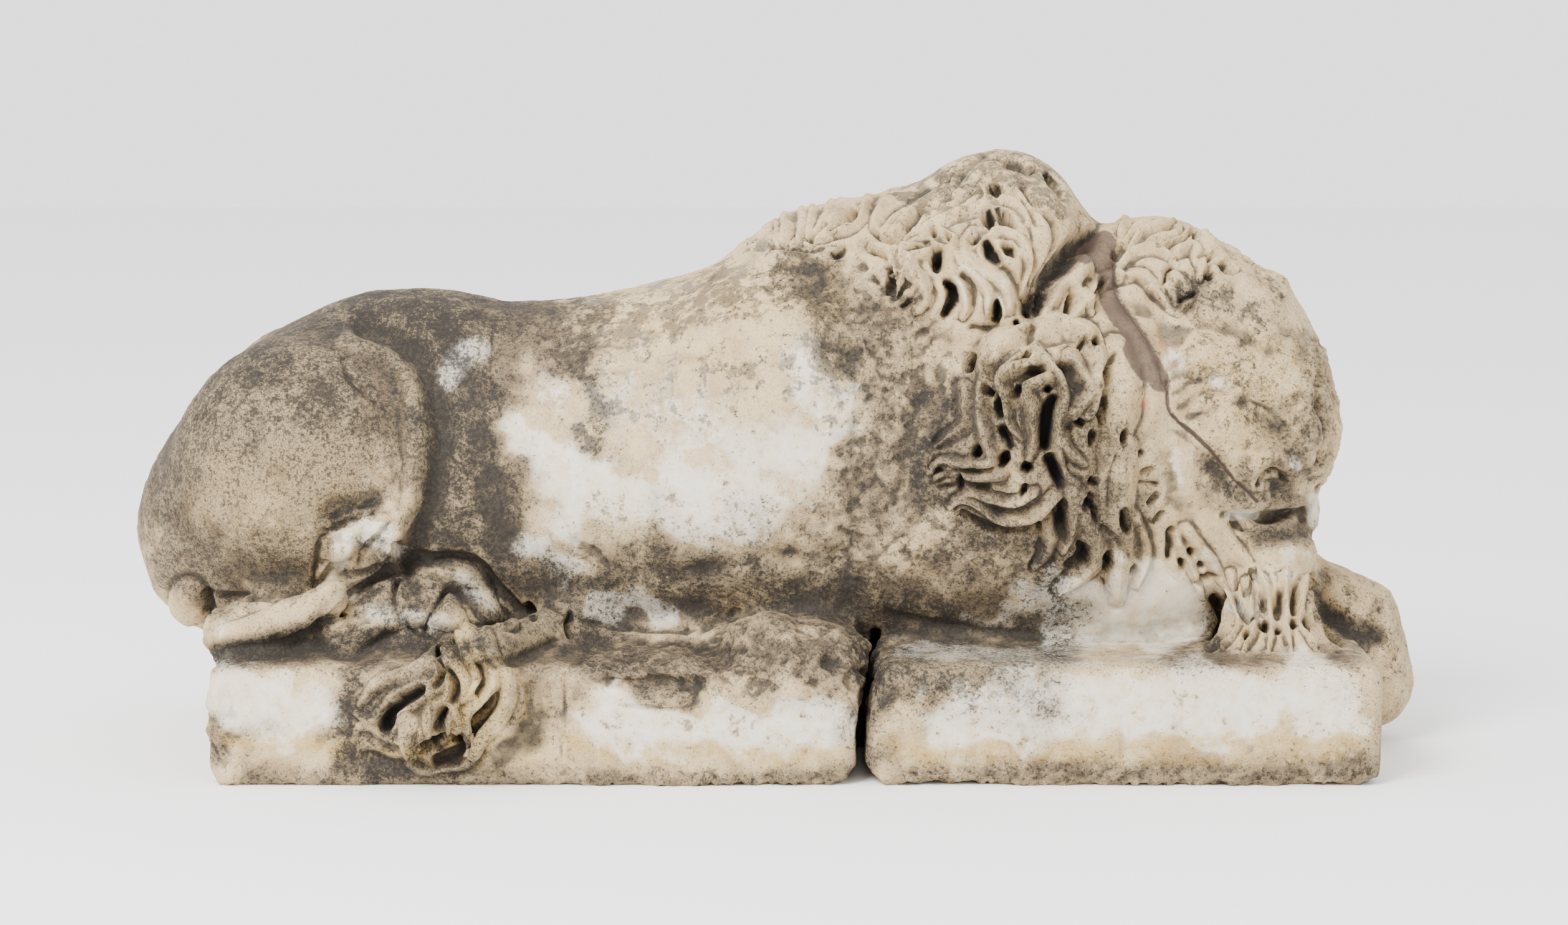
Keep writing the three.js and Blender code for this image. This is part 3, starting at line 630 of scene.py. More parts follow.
# Stone that the plain solid lacks, as runs of balls: radius in metres and the run's points.
fullerParts = {
    "tail": (0.0135, (-0.160, -0.096, 0.118), (-0.175, -0.105, 0.112), (-0.200, -0.135, 0.106),
             (-0.222, -0.172, 0.107), (-0.238, -0.186, 0.107)),
    "tuftLeft": (0.013, (-0.238, -0.186, 0.105), (-0.250, -0.192, 0.097), (-0.262, -0.196, 0.085)),
    "tuftRight": (0.013, (-0.234, -0.188, 0.102), (-0.229, -0.193, 0.092), (-0.225, -0.196, 0.080)),
    "tailUnder": (0.010, (-0.172, -0.112, 0.097), (-0.200, -0.142, 0.095), (-0.218, -0.168, 0.093)),
    "shinUnder": (0.011, (-0.405, -0.128, 0.098), (-0.345, -0.126, 0.102), (-0.305, -0.124, 0.104)),
    "shin": (0.0165, (-0.432, -0.135, 0.104), (-0.410, -0.135, 0.110), (-0.387, -0.135, 0.1168)),
    "shinUpper": (0.0145, (-0.387, -0.135, 0.119), (-0.3452, -0.136, 0.1338)),
    "belly": (0.010, (-0.168, -0.098, 0.098), (-0.110, -0.099, 0.098), (-0.045, -0.100, 0.098)),
    "lipNub": (0.009, (0.396, -0.030, 0.196), (0.399, -0.032, 0.186), (0.396, -0.034, 0.175)),
}

cleft = {  # the blade that parts the plinth: its points in x and z on the front, in metres
    "width": 0.0085,
    "front": -0.26,
    "back": -0.04,
    "points": ((0.0485, -0.02), (0.0485, 0.02), (0.049, 0.045), (0.054, 0.070), (0.060, 0.090),
               (0.062, 0.103)),
}


def cutCleft(piece):
    half = cleft["width"] / 2
    corners = []
    for x, z in cleft["points"]:
        for side, y in ((-half, cleft["front"]), (half, cleft["front"]), (half, cleft["back"]),
                        (-half, cleft["back"])):
            corners.append((x + side, y, z))
    faces = [(3, 2, 1, 0), tuple(range(len(corners) - 4, len(corners)))]
    for ring in range(0, len(corners) - 4, 4):
        for i in range(4):
            faces.append((ring + i, ring + (i + 1) % 4, ring + 4 + (i + 1) % 4, ring + 4 + i))
    mesh = bpy.data.meshes.new("blade")
    mesh.from_pydata(corners, [], faces)
    blade = bpy.data.objects.new("blade", mesh)
    bpy.context.scene.collection.objects.link(blade)
    before = len(piece.data.vertices)
    applyModifier(piece, "BOOLEAN", operation="DIFFERENCE", solver="MANIFOLD", object=blade)
    bpy.data.objects.remove(blade)
    print("cleft cut:", before, "to", len(piece.data.vertices), "vertices")


def fillOut(piece):
    # joins the fuller parts to the piece; the voxel remesh that follows makes one skin of them
    for radius, *run in fullerParts.values():
        for start, end in zip(run[:-1], run[1:]):
            start, end = Vector(start), Vector(end)
            count = max(1, round((end - start).length / stone["ballStep"]))
            for i in range(count + 1):
                bpy.ops.mesh.primitive_uv_sphere_add(segments=16, ring_count=10, radius=radius,
                                                     location=start.lerp(end, i / count))
                bpy.context.object.select_set(True)
                bpy.context.object.name = "ball"
    bpy.ops.object.select_all(action="DESELECT")
    for ball in [item for item in bpy.context.scene.objects if item.name.startswith("ball")]:
        ball.select_set(True)
    piece.select_set(True)
    bpy.context.view_layer.objects.active = piece
    bpy.ops.object.join()


def roughStone():
    # a copy of the CAD solid with its facets and edges worn off
    bpy.ops.object.select_all(action="DESELECT")
    mesh = frame["nodes"]["lion"].data.copy()
    piece = bpy.data.objects.new("lion_stone", mesh)
    bpy.context.scene.collection.objects.link(piece)
    piece.select_set(True)
    bpy.context.view_layer.objects.active = piece
    bpy.ops.object.mode_set(mode="EDIT")
    bpy.ops.mesh.select_all(action="SELECT")
    bpy.ops.mesh.remove_doubles(threshold=0.00001)
    bpy.ops.object.mode_set(mode="OBJECT")
    fillOut(piece)
    applyModifier(piece, "REMESH", mode="VOXEL", voxel_size=stone["roughVoxel"])
    mesh = piece.data
    points, normals = meshArrays(mesh)
    around = Neighbours(mesh)
    u, v, facing = mirroredView(points, normals)
    share = around.smoothed(maneShare(u, v, facing).astype(float), stone["maneRim"])
    onBody = around.smoothed((points[:, 2] > stone["plinthTop"]).astype(float), stone["plinthRim"])
    onBody[np.abs(points[:, 0]) > stone["plinthEnd"]] = 1
    softened = around.smoothed(points, stone["softening"])
    softened = around.smoothed(softened, stone["bodySoftening"], onBody * 0.5)
    onTuft = insideOutline(u, v, faceOutline["tuft"]) & (points[:, 1] < photoSideLimit)
    onTuft = around.smoothed(onTuft.astype(float), stone["tuftRim"])
    share = np.maximum(share, stone["tuftShare"] * onTuft)
    washed = around.smoothed(softened, stone["maneSoftening"], share * 0.5)
    setPoints(mesh, washed)
    cutCleft(piece)
    applyModifier(piece, "REMESH", mode="VOXEL", voxel_size=stone["fineVoxel"])
    refineCarvedParts(piece)
    return piece


def nearCarving(piece):
    # which vertices carry the fine carving that is seen
    points, normals = meshArrays(piece.data)
    u, v, facing = mirroredView(points, normals)
    onPhotoSide = points[:, 1] < photoSideLimit
    inside = maneShare(u, v, facing) & onPhotoSide
    for outline in faceOutline.values():
        inside |= insideOutline(u, v, outline) & onPhotoSide & (facing > stone["faceTurn"])
    return inside


def refineCarvedParts(piece):
    chosen = nearCarving(piece)
    mesh = piece.data
    corners = np.empty(len(mesh.loops), np.int64)
    mesh.loops.foreach_get("vertex_index", corners)
    allInside = chosen[corners.reshape(-1, 4)].all(1)
    mesh.polygons.foreach_set("select", allInside)
    mesh.vertices.foreach_set("select", np.zeros(len(mesh.vertices), bool))
    mesh.edges.foreach_set("select", np.zeros(len(mesh.edges), bool))
    bpy.ops.object.mode_set(mode="EDIT")
    bpy.ops.mesh.select_mode(type="FACE")
    bpy.ops.mesh.subdivide(number_cuts=1)
    bpy.ops.object.mode_set(mode="OBJECT")


hair = {
    "rise": 1.85,
    "spread": 1.8,  # a lock's surface goes on to this many half widths from its line
    "valley": 1.7,
    "strandWidth": 13,  # pixels
    "strandDepth": 1.3,  # millimetres
}
tuft = {"rise": 1.15, "spread": 1.6, "valley": 2.5, "strandWidth": 10, "strandDepth": 0.7}
worn = {"rise": 1.0, "spread": 1.6, "valley": 0.8, "strandWidth": 12, "strandDepth": 0.9}
lockShape = {  # in half widths from the lock's line, but for the first three
    "tip": 0.4,  # the tip's share of the width
    "taper": 0.4,  # the share of the length that narrows
    "taperCurve": 0.7,
    "foot": 1.45,
    "strandsEnd": 1.6,
    "valleyAt": 1.25,
    "valleyReach": 0.35,
}
limbs = {
    "rise": 1.3,
    "valley": 4.0,
    "reach": 0.85,  # the groove beside a limb lies within this many widths of its line
    "tip": 0.3,
    "taper": 0.45,
    "taperCurve": 0.7,
    "roundness": 0.6,
    "valleyAt": 1.12,
    "valleyReach": 0.35,
}
drill = {
    "deeper": 1.5,  # times the depths given above
    "endWidth": 0.8,
    "middleWider": 0.3,
    "lipStart": 0.65,  # in half widths from the channel's line
    "lipEnd": 1.4,
    "blackStart": 0.7,
    "blackEnd": 1.15,
    "blackFrom": 9,  # a channel this deep, in millimetres, starts to get painted shade
    "blackAt": 17,
}
formReach = 0.75  # a swelling or a hollow reaches this many widths from its line
crackCore, crackRim = 0.2, 0.7  # widths from its line where a crack is deepest and where it ends


def tapered(width, along, shape):
    # half the width of a lock or limb at each place, narrowing to its tip
    narrowing = np.clip((1 - along) / shape["taper"], 0, 1) ** shape["taperCurve"]
    return 0.5 * width * (shape["tip"] + (1 - shape["tip"]) * narrowing)


def combLocks(u, v, locks, height, ground, cutting):
    # Every point near the locks belongs to the lock whose line is closest for its width.
    # It stands highest on that line, with strands beside it, and falls to a valley where two locks meet.
    nearest = np.full(len(u), cutting["spread"])
    crown = np.zeros(len(u))
    for width, rise, *points in locks.values():
        near, gap, along = nearLine(u, v, curveThrough(points), 0.5 * cutting["spread"] * width)
        radius = tapered(width, along, lockShape)
        across = np.abs(gap) / radius
        own = across < nearest[near]
        chosen, across, gap = near[own], across[own], gap[own]
        nearest[chosen] = across
        ridge = 0.5 + 0.5 * np.cos(math.pi * np.clip(across / lockShape["foot"], 0, 1))
        strands = 0.5 - 0.5 * np.cos(2 * math.pi * gap / cutting["strandWidth"])
        strands *= cutting["strandDepth"] * np.clip(lockShape["strandsEnd"] - across, 0, 1)
        crown[chosen] = cutting["rise"] * rise * ridge - strands
        ground[chosen] = np.maximum(ground[chosen], 1 - smoothStep(1, cutting["spread"], across))
    edge = np.clip(1 - np.abs(nearest - lockShape["valleyAt"]) / lockShape["valleyReach"], 0, 1)
    height += crown - cutting["valley"] * edge


def roundLimbs(u, v, limbLines, height):
    # Each limb is rounded across and tapers to its tip, with a groove beside it.
    for width, rise, *points in limbLines.values():
        near, gap, along = nearLine(u, v, curveThrough(points), limbs["reach"] * width)
        radius = tapered(width, along, limbs)
        across = np.abs(gap) / radius
        crown = rise * (0.5 + radius / width) * np.clip(1 - across**2, 0, 1) ** limbs["roundness"]
        below = height[near]
        over = np.maximum(limbs["rise"] * crown + 0.25 * below, 0.6 * below)
        groove = np.clip(1 - np.abs(across - limbs["valleyAt"]) / limbs["valleyReach"], 0, 1)
        height[near] = np.where(across < 1, over, below - limbs["valley"] * groove)


def carveChannels(u, v, channels, cut, holeShade):
    # steep-sided channels with worn lips, widest halfway, how deep into them a point is, and the painted
    # shade in the deep ones
    for width, deepStart, deepEnd, *points in channels.values():
        near, gap, along = nearLine(u, v, curveThrough(points), width)
        deep = drill["deeper"] * (deepStart + (deepEnd - deepStart) * along)
        edge = 0.5 * width * (drill["endWidth"] + drill["middleWider"] * np.sin(math.pi * along))
        across = np.abs(gap) / edge
        share = 1 - smoothStep(drill["lipStart"], drill["lipEnd"], across)
        cut[near] = np.maximum(cut[near], deep * share)
        # painted shade: the deeper the channel, the darker its core
        black = 1 - smoothStep(drill["blackStart"], drill["blackEnd"], across)
        black *= smoothStep(drill["blackFrom"], drill["blackAt"], deep)
        holeShade[near] = np.maximum(holeShade[near], black)


bothSides = (maneChannels, jawChannels, foreChannels, withersChannels)
photoSideOnly = (limbChannels, tuftChannels)


def drillChannels(u, v, groups):
    # how deep the groups of channels are cut, and the painted shade in them
    cut, holeShade = np.zeros(len(u)), np.zeros(len(u))
    for channels in groups:
        carveChannels(u, v, channels, cut, holeShade)
    return cut, holeShade


def carveForms(u, v, forms, height):
    for width, rise, *points in forms.values():
        near, gap, _ = nearLine(u, v, curveThrough(points), formReach * width)
        height[near] += rise * (1 - smoothStep(0, formReach * width, np.abs(gap)))


def carveCracks(u, v, lines, cut):
    for width, depth, *points in lines.values():
        near, gap, _ = nearLine(u, v, curveThrough(points), width)
        inCrack = 1 - smoothStep(crackCore * width, crackRim * width, np.abs(gap))
        cut[near] = np.maximum(cut[near], depth * inCrack)


carving = {
    "directionRounds": 12,  # rounds that even out the way in which the surface moves
    "seenFrom": 0.02,  # how far a surface turns to the camera where the carving starts
    "seenTo": 0.3,
    "reliefRounds": 2,
    "lastRounds": 1,
    "lastSoftening": 0.35,
}


def carve(piece):
    mesh = piece.data
    points, normals = meshArrays(mesh)
    around = Neighbours(mesh)
    u, v, facing = mirroredView(points, normals)
    broad = around.smoothed(normals, carving["directionRounds"])
    broad /= np.linalg.norm(broad, axis=1)[:, None]
    seen = smoothStep(carving["seenFrom"], carving["seenTo"], facing)
    near = points[:, 1] < photoSideLimit
    height = np.zeros(len(points))
    ground = np.zeros(len(points))
    for locks in (withersLocks, maneLocks, foreLocks, beardLocks):
        combLocks(u, v, locks, height, ground, hair)
    combLocks(u, v, chestLocks, height, np.zeros(len(points)), worn)
    cut, _ = drillChannels(u, v, bothSides)
    tuftHeight = np.zeros(len(points))
    roundLimbs(u, v, limbForms, tuftHeight)
    combLocks(u, v, tuftLocks, tuftHeight, np.zeros(len(points)), tuft)
    tuftCut, _ = drillChannels(u, v, photoSideOnly)
    carveForms(u, v, fleshForms, height)
    carveCracks(u, v, cracks, cut)
    share = np.where(near, 1.0, stone["farShare"])
    relief = (height - cut) * share + np.where(near, tuftHeight - tuftCut, 0)
    relief = around.smoothed(relief, carving["reliefRounds"]) * millimetre
    relief -= stone["maneSink"] * ground * share
    moved = points + broad * (relief * seen)[:, None]
    setPoints(mesh, around.smoothed(moved, carving["lastRounds"], carving["lastSoftening"]))
    print("locks and channels carved")


weather = {  # size of the dents and their depth, in metres, over the whole surface and on broken stone
    "swells": (0.06, 0.004, False),
    "dents": (0.016, 0.0018, False),
    "grain": (0.0055, 0.0010, False),
    "breaks": (0.022, 0.011, True),
    "chips": (0.008, 0.005, True),
}
breakLevels = 10  # steps in which broken stone fades into whole stone
breakCore, breakRim = 0.2, 0.8  # widths from its line where it starts to fade and where it ends


def erode(piece):
    mesh = piece.data
    points, normals = meshArrays(mesh)
    u, v, _ = mirroredView(points, normals)
    broken = np.zeros(len(points))
    for width, *line in roughPlaces.values():
        found, gap, _ = nearLine(u, v, curveThrough(line), width)
        fade = 1 - smoothStep(breakCore * width, breakRim * width, np.abs(gap))
        broken[found] = np.maximum(broken[found], fade)
    group = piece.vertex_groups.new(name="broken")
    for level in range(1, breakLevels + 1):
        chosen = np.flatnonzero((broken > (level - 1) / breakLevels) & (broken <= level / breakLevels))
        group.add(chosen.tolist(), level / breakLevels, "REPLACE")
    for name, (size, strength, onBreaks) in weather.items():
        texture = bpy.data.textures.new(name, "CLOUDS")
        texture.noise_scale = size
        texture.noise_depth = 3
        applyModifier(piece, "DISPLACE", texture=texture, strength=strength, mid_level=0.5,
                      texture_coords="LOCAL", vertex_group="broken" if onBreaks else "")
    piece.vertex_groups.clear()
    print("surface eroded")


def thin(piece):
    # keeps the piece light, with most of its faces on the fine carving, and its underside flat
    fine = nearCarving(piece)
    rest = piece.vertex_groups.new(name="rest")
    rest.add(np.flatnonzero(~fine).tolist(), 1, "REPLACE")
    mesh = piece.data
    mesh.calc_loop_triangles()
    corners = np.empty(len(mesh.loop_triangles) * 3, np.int64)
    mesh.loop_triangles.foreach_get("vertices", corners)
    carved = int(fine[corners.reshape(-1, 3)].all(1).sum())
    total = len(mesh.loop_triangles)
    print("triangles of the carving:", carved, "of", total)
    applyModifier(piece, "DECIMATE", ratio=(carved + stone["restTriangles"]) / total, vertex_group="rest",
                  vertex_group_factor=0, use_collapse_triangulate=True)
    piece.vertex_groups.clear()
    print("after the first thinning:", len(piece.data.polygons))
    if len(piece.data.polygons) > stone["triangles"]:
        applyModifier(piece, "DECIMATE", ratio=stone["triangles"] / len(piece.data.polygons),
                      use_collapse_triangulate=True)
    points, _ = meshArrays(piece.data)
    low = points[:, 2] < stone["underside"]
    points[low, 2] = 0
    setPoints(piece.data, points)
    print("triangles:", len(piece.data.polygons))


lionStone = roughStone()
print("rough block:", len(lionStone.data.vertices), "vertices")
carve(lionStone)
erode(lionStone)
thin(lionStone)
bpy.ops.object.shade_smooth()

# Stains, and painted shade under and between parts: width in pixels, strength, and the line or spot that they
# follow on the photograph.
stains = {
    # soot: real soot and crust, and painted shade under and between parts: under the belly, chest, haunch,
    # foot, shin and tail, behind the haunch and the beard, and in the cleft between mane and head
    "sootAndShade": {
        "belly": (150, 0.85, (830, 935), (940, 950), (1100, 930), (1250, 940), (1390, 965)),
        "bellyEdge": (70, 0.55, (960, 880), (1100, 890), (1260, 905)),
        "behindHaunch": (170, 1.15, (705, 560), (735, 650), (750, 760), (780, 860)),
        "haunchShade": (50, 1.0, (690, 600), (714, 700), (692, 820), (660, 900)),
        "underHaunch": (60, 1.0, (600, 905), (700, 880), (800, 900)),
        "haunchTop": (170, 0.8, (380, 560), (470, 500), (600, 490), (740, 500)),
        "haunchBack": (150, 0.55, (235, 820), (262, 700), (340, 590)),
        "haunchFront": (150, 0.4, (520, 600), (600, 640)),
        "backTop": (70, 0.7, (620, 475), (700, 482), (770, 486)),
        "flankSpots": (70, 0.65, (930, 600), (945, 650), (962, 700)),
        "flankStreak": (26, 0.6, (1050, 790), (1048, 856)),
        "shoulderSpots": (90, 0.5, (1290, 440), (1315, 510), (1360, 570)),
        "shoulderCrease": (90, 0.4, (1390, 660), (1375, 760), (1370, 860), (1385, 970)),
        "underChest": (60, 0.9, (1390, 975), (1500, 992), (1620, 1008), (1680, 1016)),
        "maneEdge": (70, 0.9, (1510, 640), (1480, 720), (1500, 800)),
        "underTongues": (50, 0.8, (1560, 850), (1640, 860), (1680, 900)),
        "besideChest": (80, 1.0, (1690, 930), (1700, 980), (1690, 1020)),
        "maneCleft": (30, 1.0, (1746, 388), (1700, 430), (1652, 500)),
        "foot": (110, 0.95, (610, 960), (720, 960), (830, 990)),
        "footBreak": (50, 0.9, (660, 950), (680, 985)),
        "underFoot": (44, 1.0, (350, 1056), (460, 1044), (540, 1030), (640, 1020), (740, 1044)),
        "besideTail": (80, 1.0, (870, 930), (930, 980), (1000, 1000)),
        "tail": (40, 0.5, (770, 1060), (850, 1030)),
        "plinthChip": (40, 0.8, (345, 1160), (350, 1210)),
        "plinthSmudge": (26, 0.5, (380, 1180), (430, 1165)),
        "plinthStump": (90, 0.5, (1020, 1060), (1130, 1070), (1270, 1070), (1370, 1050)),
        "plinthStumpLow": (50, 0.4, (1180, 1120), (1280, 1120), (1370, 1140)),
        "ledge": (60, 0.7, (930, 1060), (1010, 1080), (1100, 1110)),
        "plinthTop": (40, 0.1, (1430, 1040), (1540, 1050), (1700, 1056)),
        "plinthRightTop": (120, 0.75, (1440, 1090), (1540, 1090), (1650, 1100)),
        "plinthRightEdge": (40, 0.6, (1880, 1060), (1960, 1060)),
        "plinthBottom": (46, 0.6, (400, 1250), (800, 1255), (1300, 1250), (1420, 1200)),
        "plinthBottomRight": (46, 0.55, (1450, 1250), (1700, 1240), (2000, 1252), (2200, 1235)),
        "plinthSmudges": (60, 0.4, (1500, 1130), (1600, 1150), (1700, 1170)),
        "pawHollow": (70, 0.8, (2130, 985), (2185, 1025)),
        "beardHollow": (44, 1.0, (1944, 970), (1946, 1030)),
        "snout": (60, 0.7, (1970, 780), (2030, 790), (2090, 776)),
        "snoutTop": (60, 0.35, (2040, 700), (2060, 740)),
        "mouth": (20, 0.5, (2030, 828), (2080, 820)),
        "jaw": (50, 0.6, (2020, 856), (2090, 852)),
        "headEdge": (50, 0.4, (2110, 560), (2110, 700)),
        "belowCrack": (56, 0.75, (1940, 750), (1965, 790), (2000, 806)),
        "headTop": (40, 0.7, (1895, 480), (1920, 470)),
        "bandEdge": (16, 0.7, (1785, 400), (1793, 480), (1830, 532), (1852, 570), (1866, 618)),
        "jowl": (50, 0.3, (1840, 700), (1850, 800)),
        "mane": (170, 0.38, (1600, 620), (1720, 660), (1720, 860)),
        "humpShade": (40, 0.3, (1520, 290), (1570, 300)),
        "knee": (40, 0.9, (528, 832), (560, 814), (594, 806)),
        "footEdge": (26, 0.9, (560, 1012), (640, 1034), (700, 1034)),
        "bellyGrey": (90, 0.7, (1020, 895), (1080, 905)),
        "lowChest": (120, 0.5, (1560, 960), (1660, 990)),
        "haunchLow": (120, 0.35, (260, 860), (340, 930), (440, 930)),
        "shinUnder": (30, 0.9, (352, 1046), (450, 1022), (530, 994)),
        "footMiddle": (60, 1.0, (600, 1010), (650, 990), (700, 1020)),
        "shoulderFoot": (90, 0.45, (1290, 840), (1320, 790), (1370, 770)),
        "flankPatch": (60, 0.4, (1180, 820), (1240, 850)),
        "maneBack": (110, 0.4, (1530, 690), (1550, 780), (1620, 840)),
    },
    "nearPaintedShade": {  # painted shadow that the tail's tuft casts on the plinth, and painted shade in the plinth's cleft, on the side that is seen only
        "tuftShade": (60, 1.0, (570, 1080), (560, 1150), (566, 1220), (650, 1246)),
        "tuftLeft": (70, 0.8, (600, 1110), (610, 1180)),
        "tuftRight": (60, 0.4, (840, 1080), (836, 1180)),
        "cleft": (70, 1.0, (1408, 1020), (1392, 1120), (1384, 1240)),
    },
    "bare": {
        "flank": (230, 0.42, (970, 660), (1100, 690), (1250, 680)),
        "flankTop": (150, 0.25, (960, 500), (1100, 560), (1260, 560)),
        "flankLow": (120, 0.75, (900, 765), (1040, 800), (1200, 815)),
        "flankBack": (70, 0.75, (850, 690), (880, 760), (920, 830)),
        "flankFront": (100, 0.6, (1290, 620), (1350, 655), (1285, 740)),
        "behindHaunch": (50, 0.75, (715, 610), (740, 570), (765, 560)),
        "belly": (60, 0.95, (980, 972), (1080, 985)),
        "bellyEnd": (60, 0.8, (850, 870), (900, 920)),
        "shoulder": (110, 0.35, (1230, 520), (1330, 600)),
        "haunchKnee": (100, 0.42, (560, 730), (600, 780)),
        "kneeBreak": (70, 0.75, (545, 880), (612, 850)),
        "shin": (46, 0.4, (360, 1000), (560, 950)),
        "chest": (130, 1.2, (1740, 985), (1870, 975)),
        "chestBack": (70, 0.5, (1580, 990), (1640, 960)),
        "plinthLeft": (120, 0.9, (370, 1130), (500, 1140)),
        "plinthLeftLow": (80, 0.35, (700, 1180), (830, 1190)),
        "plinthMiddle": (90, 0.85, (960, 1165), (1150, 1175), (1340, 1160)),
        "plinthRight": (120, 1.0, (1540, 1150), (1800, 1130), (2140, 1120)),
        "brow": (60, 0.6, (1880, 570), (1890, 610)),
        "browSpot": (36, 0.6, (1950, 610), (1975, 620)),
        "cheek": (44, 0.5, (1885, 730), (1900, 790)),
        "lips": (18, 1.2, (1972, 826), (2014, 826)),
        "nub": (24, 0.6, (2108, 800), (2106, 840)),
        "noseSpot": (18, 0.8, (2078, 738), (2080, 748)),
        "jawFront": (60, 0.5, (2020, 910), (2090, 910)),
        "crestFringe": (70, 0.4, (1560, 440), (1600, 500)),
        "beard": (140, 0.45, (1920, 930), (2040, 980)),
        "foot": (44, 0.75, (600, 985), (712, 1000)),
        "toe": (40, 0.5, (740, 930), (790, 970)),
        "plinthTop": (50, 0.5, (1450, 1046), (1560, 1052), (1700, 1058), (1880, 1062)),
        "chestMiddle": (60, 0.8, (1770, 985), (1830, 990)),
        "hump": (110, 0.3, (1500, 330), (1620, 350)),
        "back": (60, 0.3, (960, 490), (1080, 470), (1180, 430), (1260, 380)),
    },
    "honey": {
        "haunch": (330, 1.0, (330, 720), (430, 620), (520, 700)),
        "haunchLow": (160, 1.0, (320, 880), (460, 900)),
        "back": (130, 0.8, (600, 500), (800, 520), (900, 520)),
        "head": (150, 0.4, (1990, 590), (2070, 680)),
        "headTop": (120, 0.4, (1960, 480), (2060, 540)),
        "paw": (160, 0.25, (2180, 940), (2230, 1040), (2250, 1140)),
        "mane": (150, 0.7, (1600, 650), (1720, 700), (1760, 860)),
        "hump": (150, 0.15, (1500, 330), (1640, 330)),
        "shoulder": (150, 0.1, (1200, 470), (1300, 460)),
        "shoulderFront": (150, 0.45, (1380, 480), (1460, 640), (1420, 820)),
        "chestBack": (150, 0.6, (1560, 900), (1480, 960)),
        "plinthTop": (50, 0.6, (400, 1060), (800, 1060), (1500, 1050), (2150, 1070)),
        "plinthRightEnd": (60, 0.5, (2180, 1080), (2195, 1230)),
        "plinthUnderTuft": (120, 0.3, (760, 1200), (860, 1140)),
        "plinthLowRight": (50, 0.2, (1500, 1230), (1800, 1228), (2150, 1225)),
        "stumpTop": (50, 0.5, (1190, 1020), (1240, 1015)),
        "tuft": (100, 1.2, (680, 1090), (740, 1150), (700, 1200)),
        "jaw": (50, 0.5, (2020, 860), (2090, 856)),
        "maneBack": (120, 0.6, (1530, 700), (1570, 800)),
    },
    "ochre": {
        "bandLeft": (24, 1.0, (350, 1185), (470, 1192), (560, 1200), (680, 1212)),
        "bandMiddle": (26, 1.0, (910, 1190), (1010, 1210), (1120, 1200), (1240, 1215), (1360, 1205)),
        "bandRight": (20, 1.1, (1420, 1190), (1500, 1210), (1640, 1196), (1800, 1198), (1980, 1188),
                      (2180, 1195)),
        "bandBelow": (16, 0.6, (1500, 1225), (1700, 1215), (1900, 1222), (2150, 1212)),
        "underTuft": (50, 0.5, (840, 1110), (850, 1200)),
        "shoulder": (120, 0.45, (1180, 480), (1300, 480)),
        "flankTop": (70, 0.35, (990, 520), (1080, 500)),
        "cheek": (90, 0.45, (1990, 710), (2040, 640)),
        "tuft": (100, 0.8, (740, 1060), (770, 1160)),
        "tuftMiddle": (40, 0.4, (670, 1140), (690, 1200)),
        "brow": (120, 0.4, (1950, 560), (2040, 620)),
        "haunch": (160, 0.25, (380, 800), (520, 800)),
        "mane": (120, 0.2, (1620, 600), (1740, 700)),
    },
    "mortar": {
        "band": (30, 1.0, (1772, 384), (1776, 420), (1776, 460), (1788, 496), (1810, 524), (1830, 552),
                 (1844, 580), (1862, 614)),
        "arm": (30, 1.0, (1742, 408), (1760, 396), (1776, 392)),
        "wide": (44, 1.0, (1822, 560), (1842, 590)),
        "line": (7, 0.8, (1872, 614), (1875, 653), (1889, 674), (1916, 697), (1947, 728), (1972, 760),
                 (1998, 785), (2016, 804)),
    },
    "spots": {
        "flankTop": (150, 1.0, (930, 540), (1080, 500), (1220, 450)),
        "flankSpots": (70, 1.1, (925, 590), (950, 640), (965, 700)),
        "flank": (220, 0.7, (960, 640), (1100, 620), (1260, 600)),
        "flankLow": (120, 0.55, (960, 820), (1100, 830), (1260, 840)),
        "shoulder": (130, 1.0, (1290, 430), (1320, 520), (1350, 590)),
        "haunch": (260, 0.8, (380, 620), (520, 640)),
        "back": (110, 1.0, (560, 480), (760, 500), (960, 500)),
        "paw": (120, 0.5, (2200, 960), (2240, 1080)),
        "head": (200, 0.7, (1950, 560), (2050, 720)),
        "headTop": (90, 0.9, (1900, 470), (2020, 500)),
        "hump": (150, 1.0, (1480, 300), (1600, 250), (1700, 300)),
        "mane": (200, 0.5, (1560, 620), (1740, 640), (1720, 820)),
        "plinthLeft": (120, 0.5, (800, 1150), (960, 1150)),
        "plinth": (120, 0.5, (900, 1150), (1300, 1160)),
        "plinthRight": (120, 0.45, (1500, 1150), (2100, 1150)),
        "plinthRightTop": (90, 0.9, (1440, 1090), (1560, 1110)),
        "chest": (160, 0.6, (1420, 500), (1450, 700)),
        "chestLow": (120, 0.8, (1500, 860), (1660, 940)),
    },
    "red": {
        "brow": (5, 0.9, (1867, 546), (1866, 560)),
        "cheek": (5, 0.9, (1877, 588), (1877, 593)),
        "mane": (4, 0.8, (1834, 644), (1832, 656)),
        "plinth": (6, 0.9, (898, 1081), (903, 1085)),
    },
}

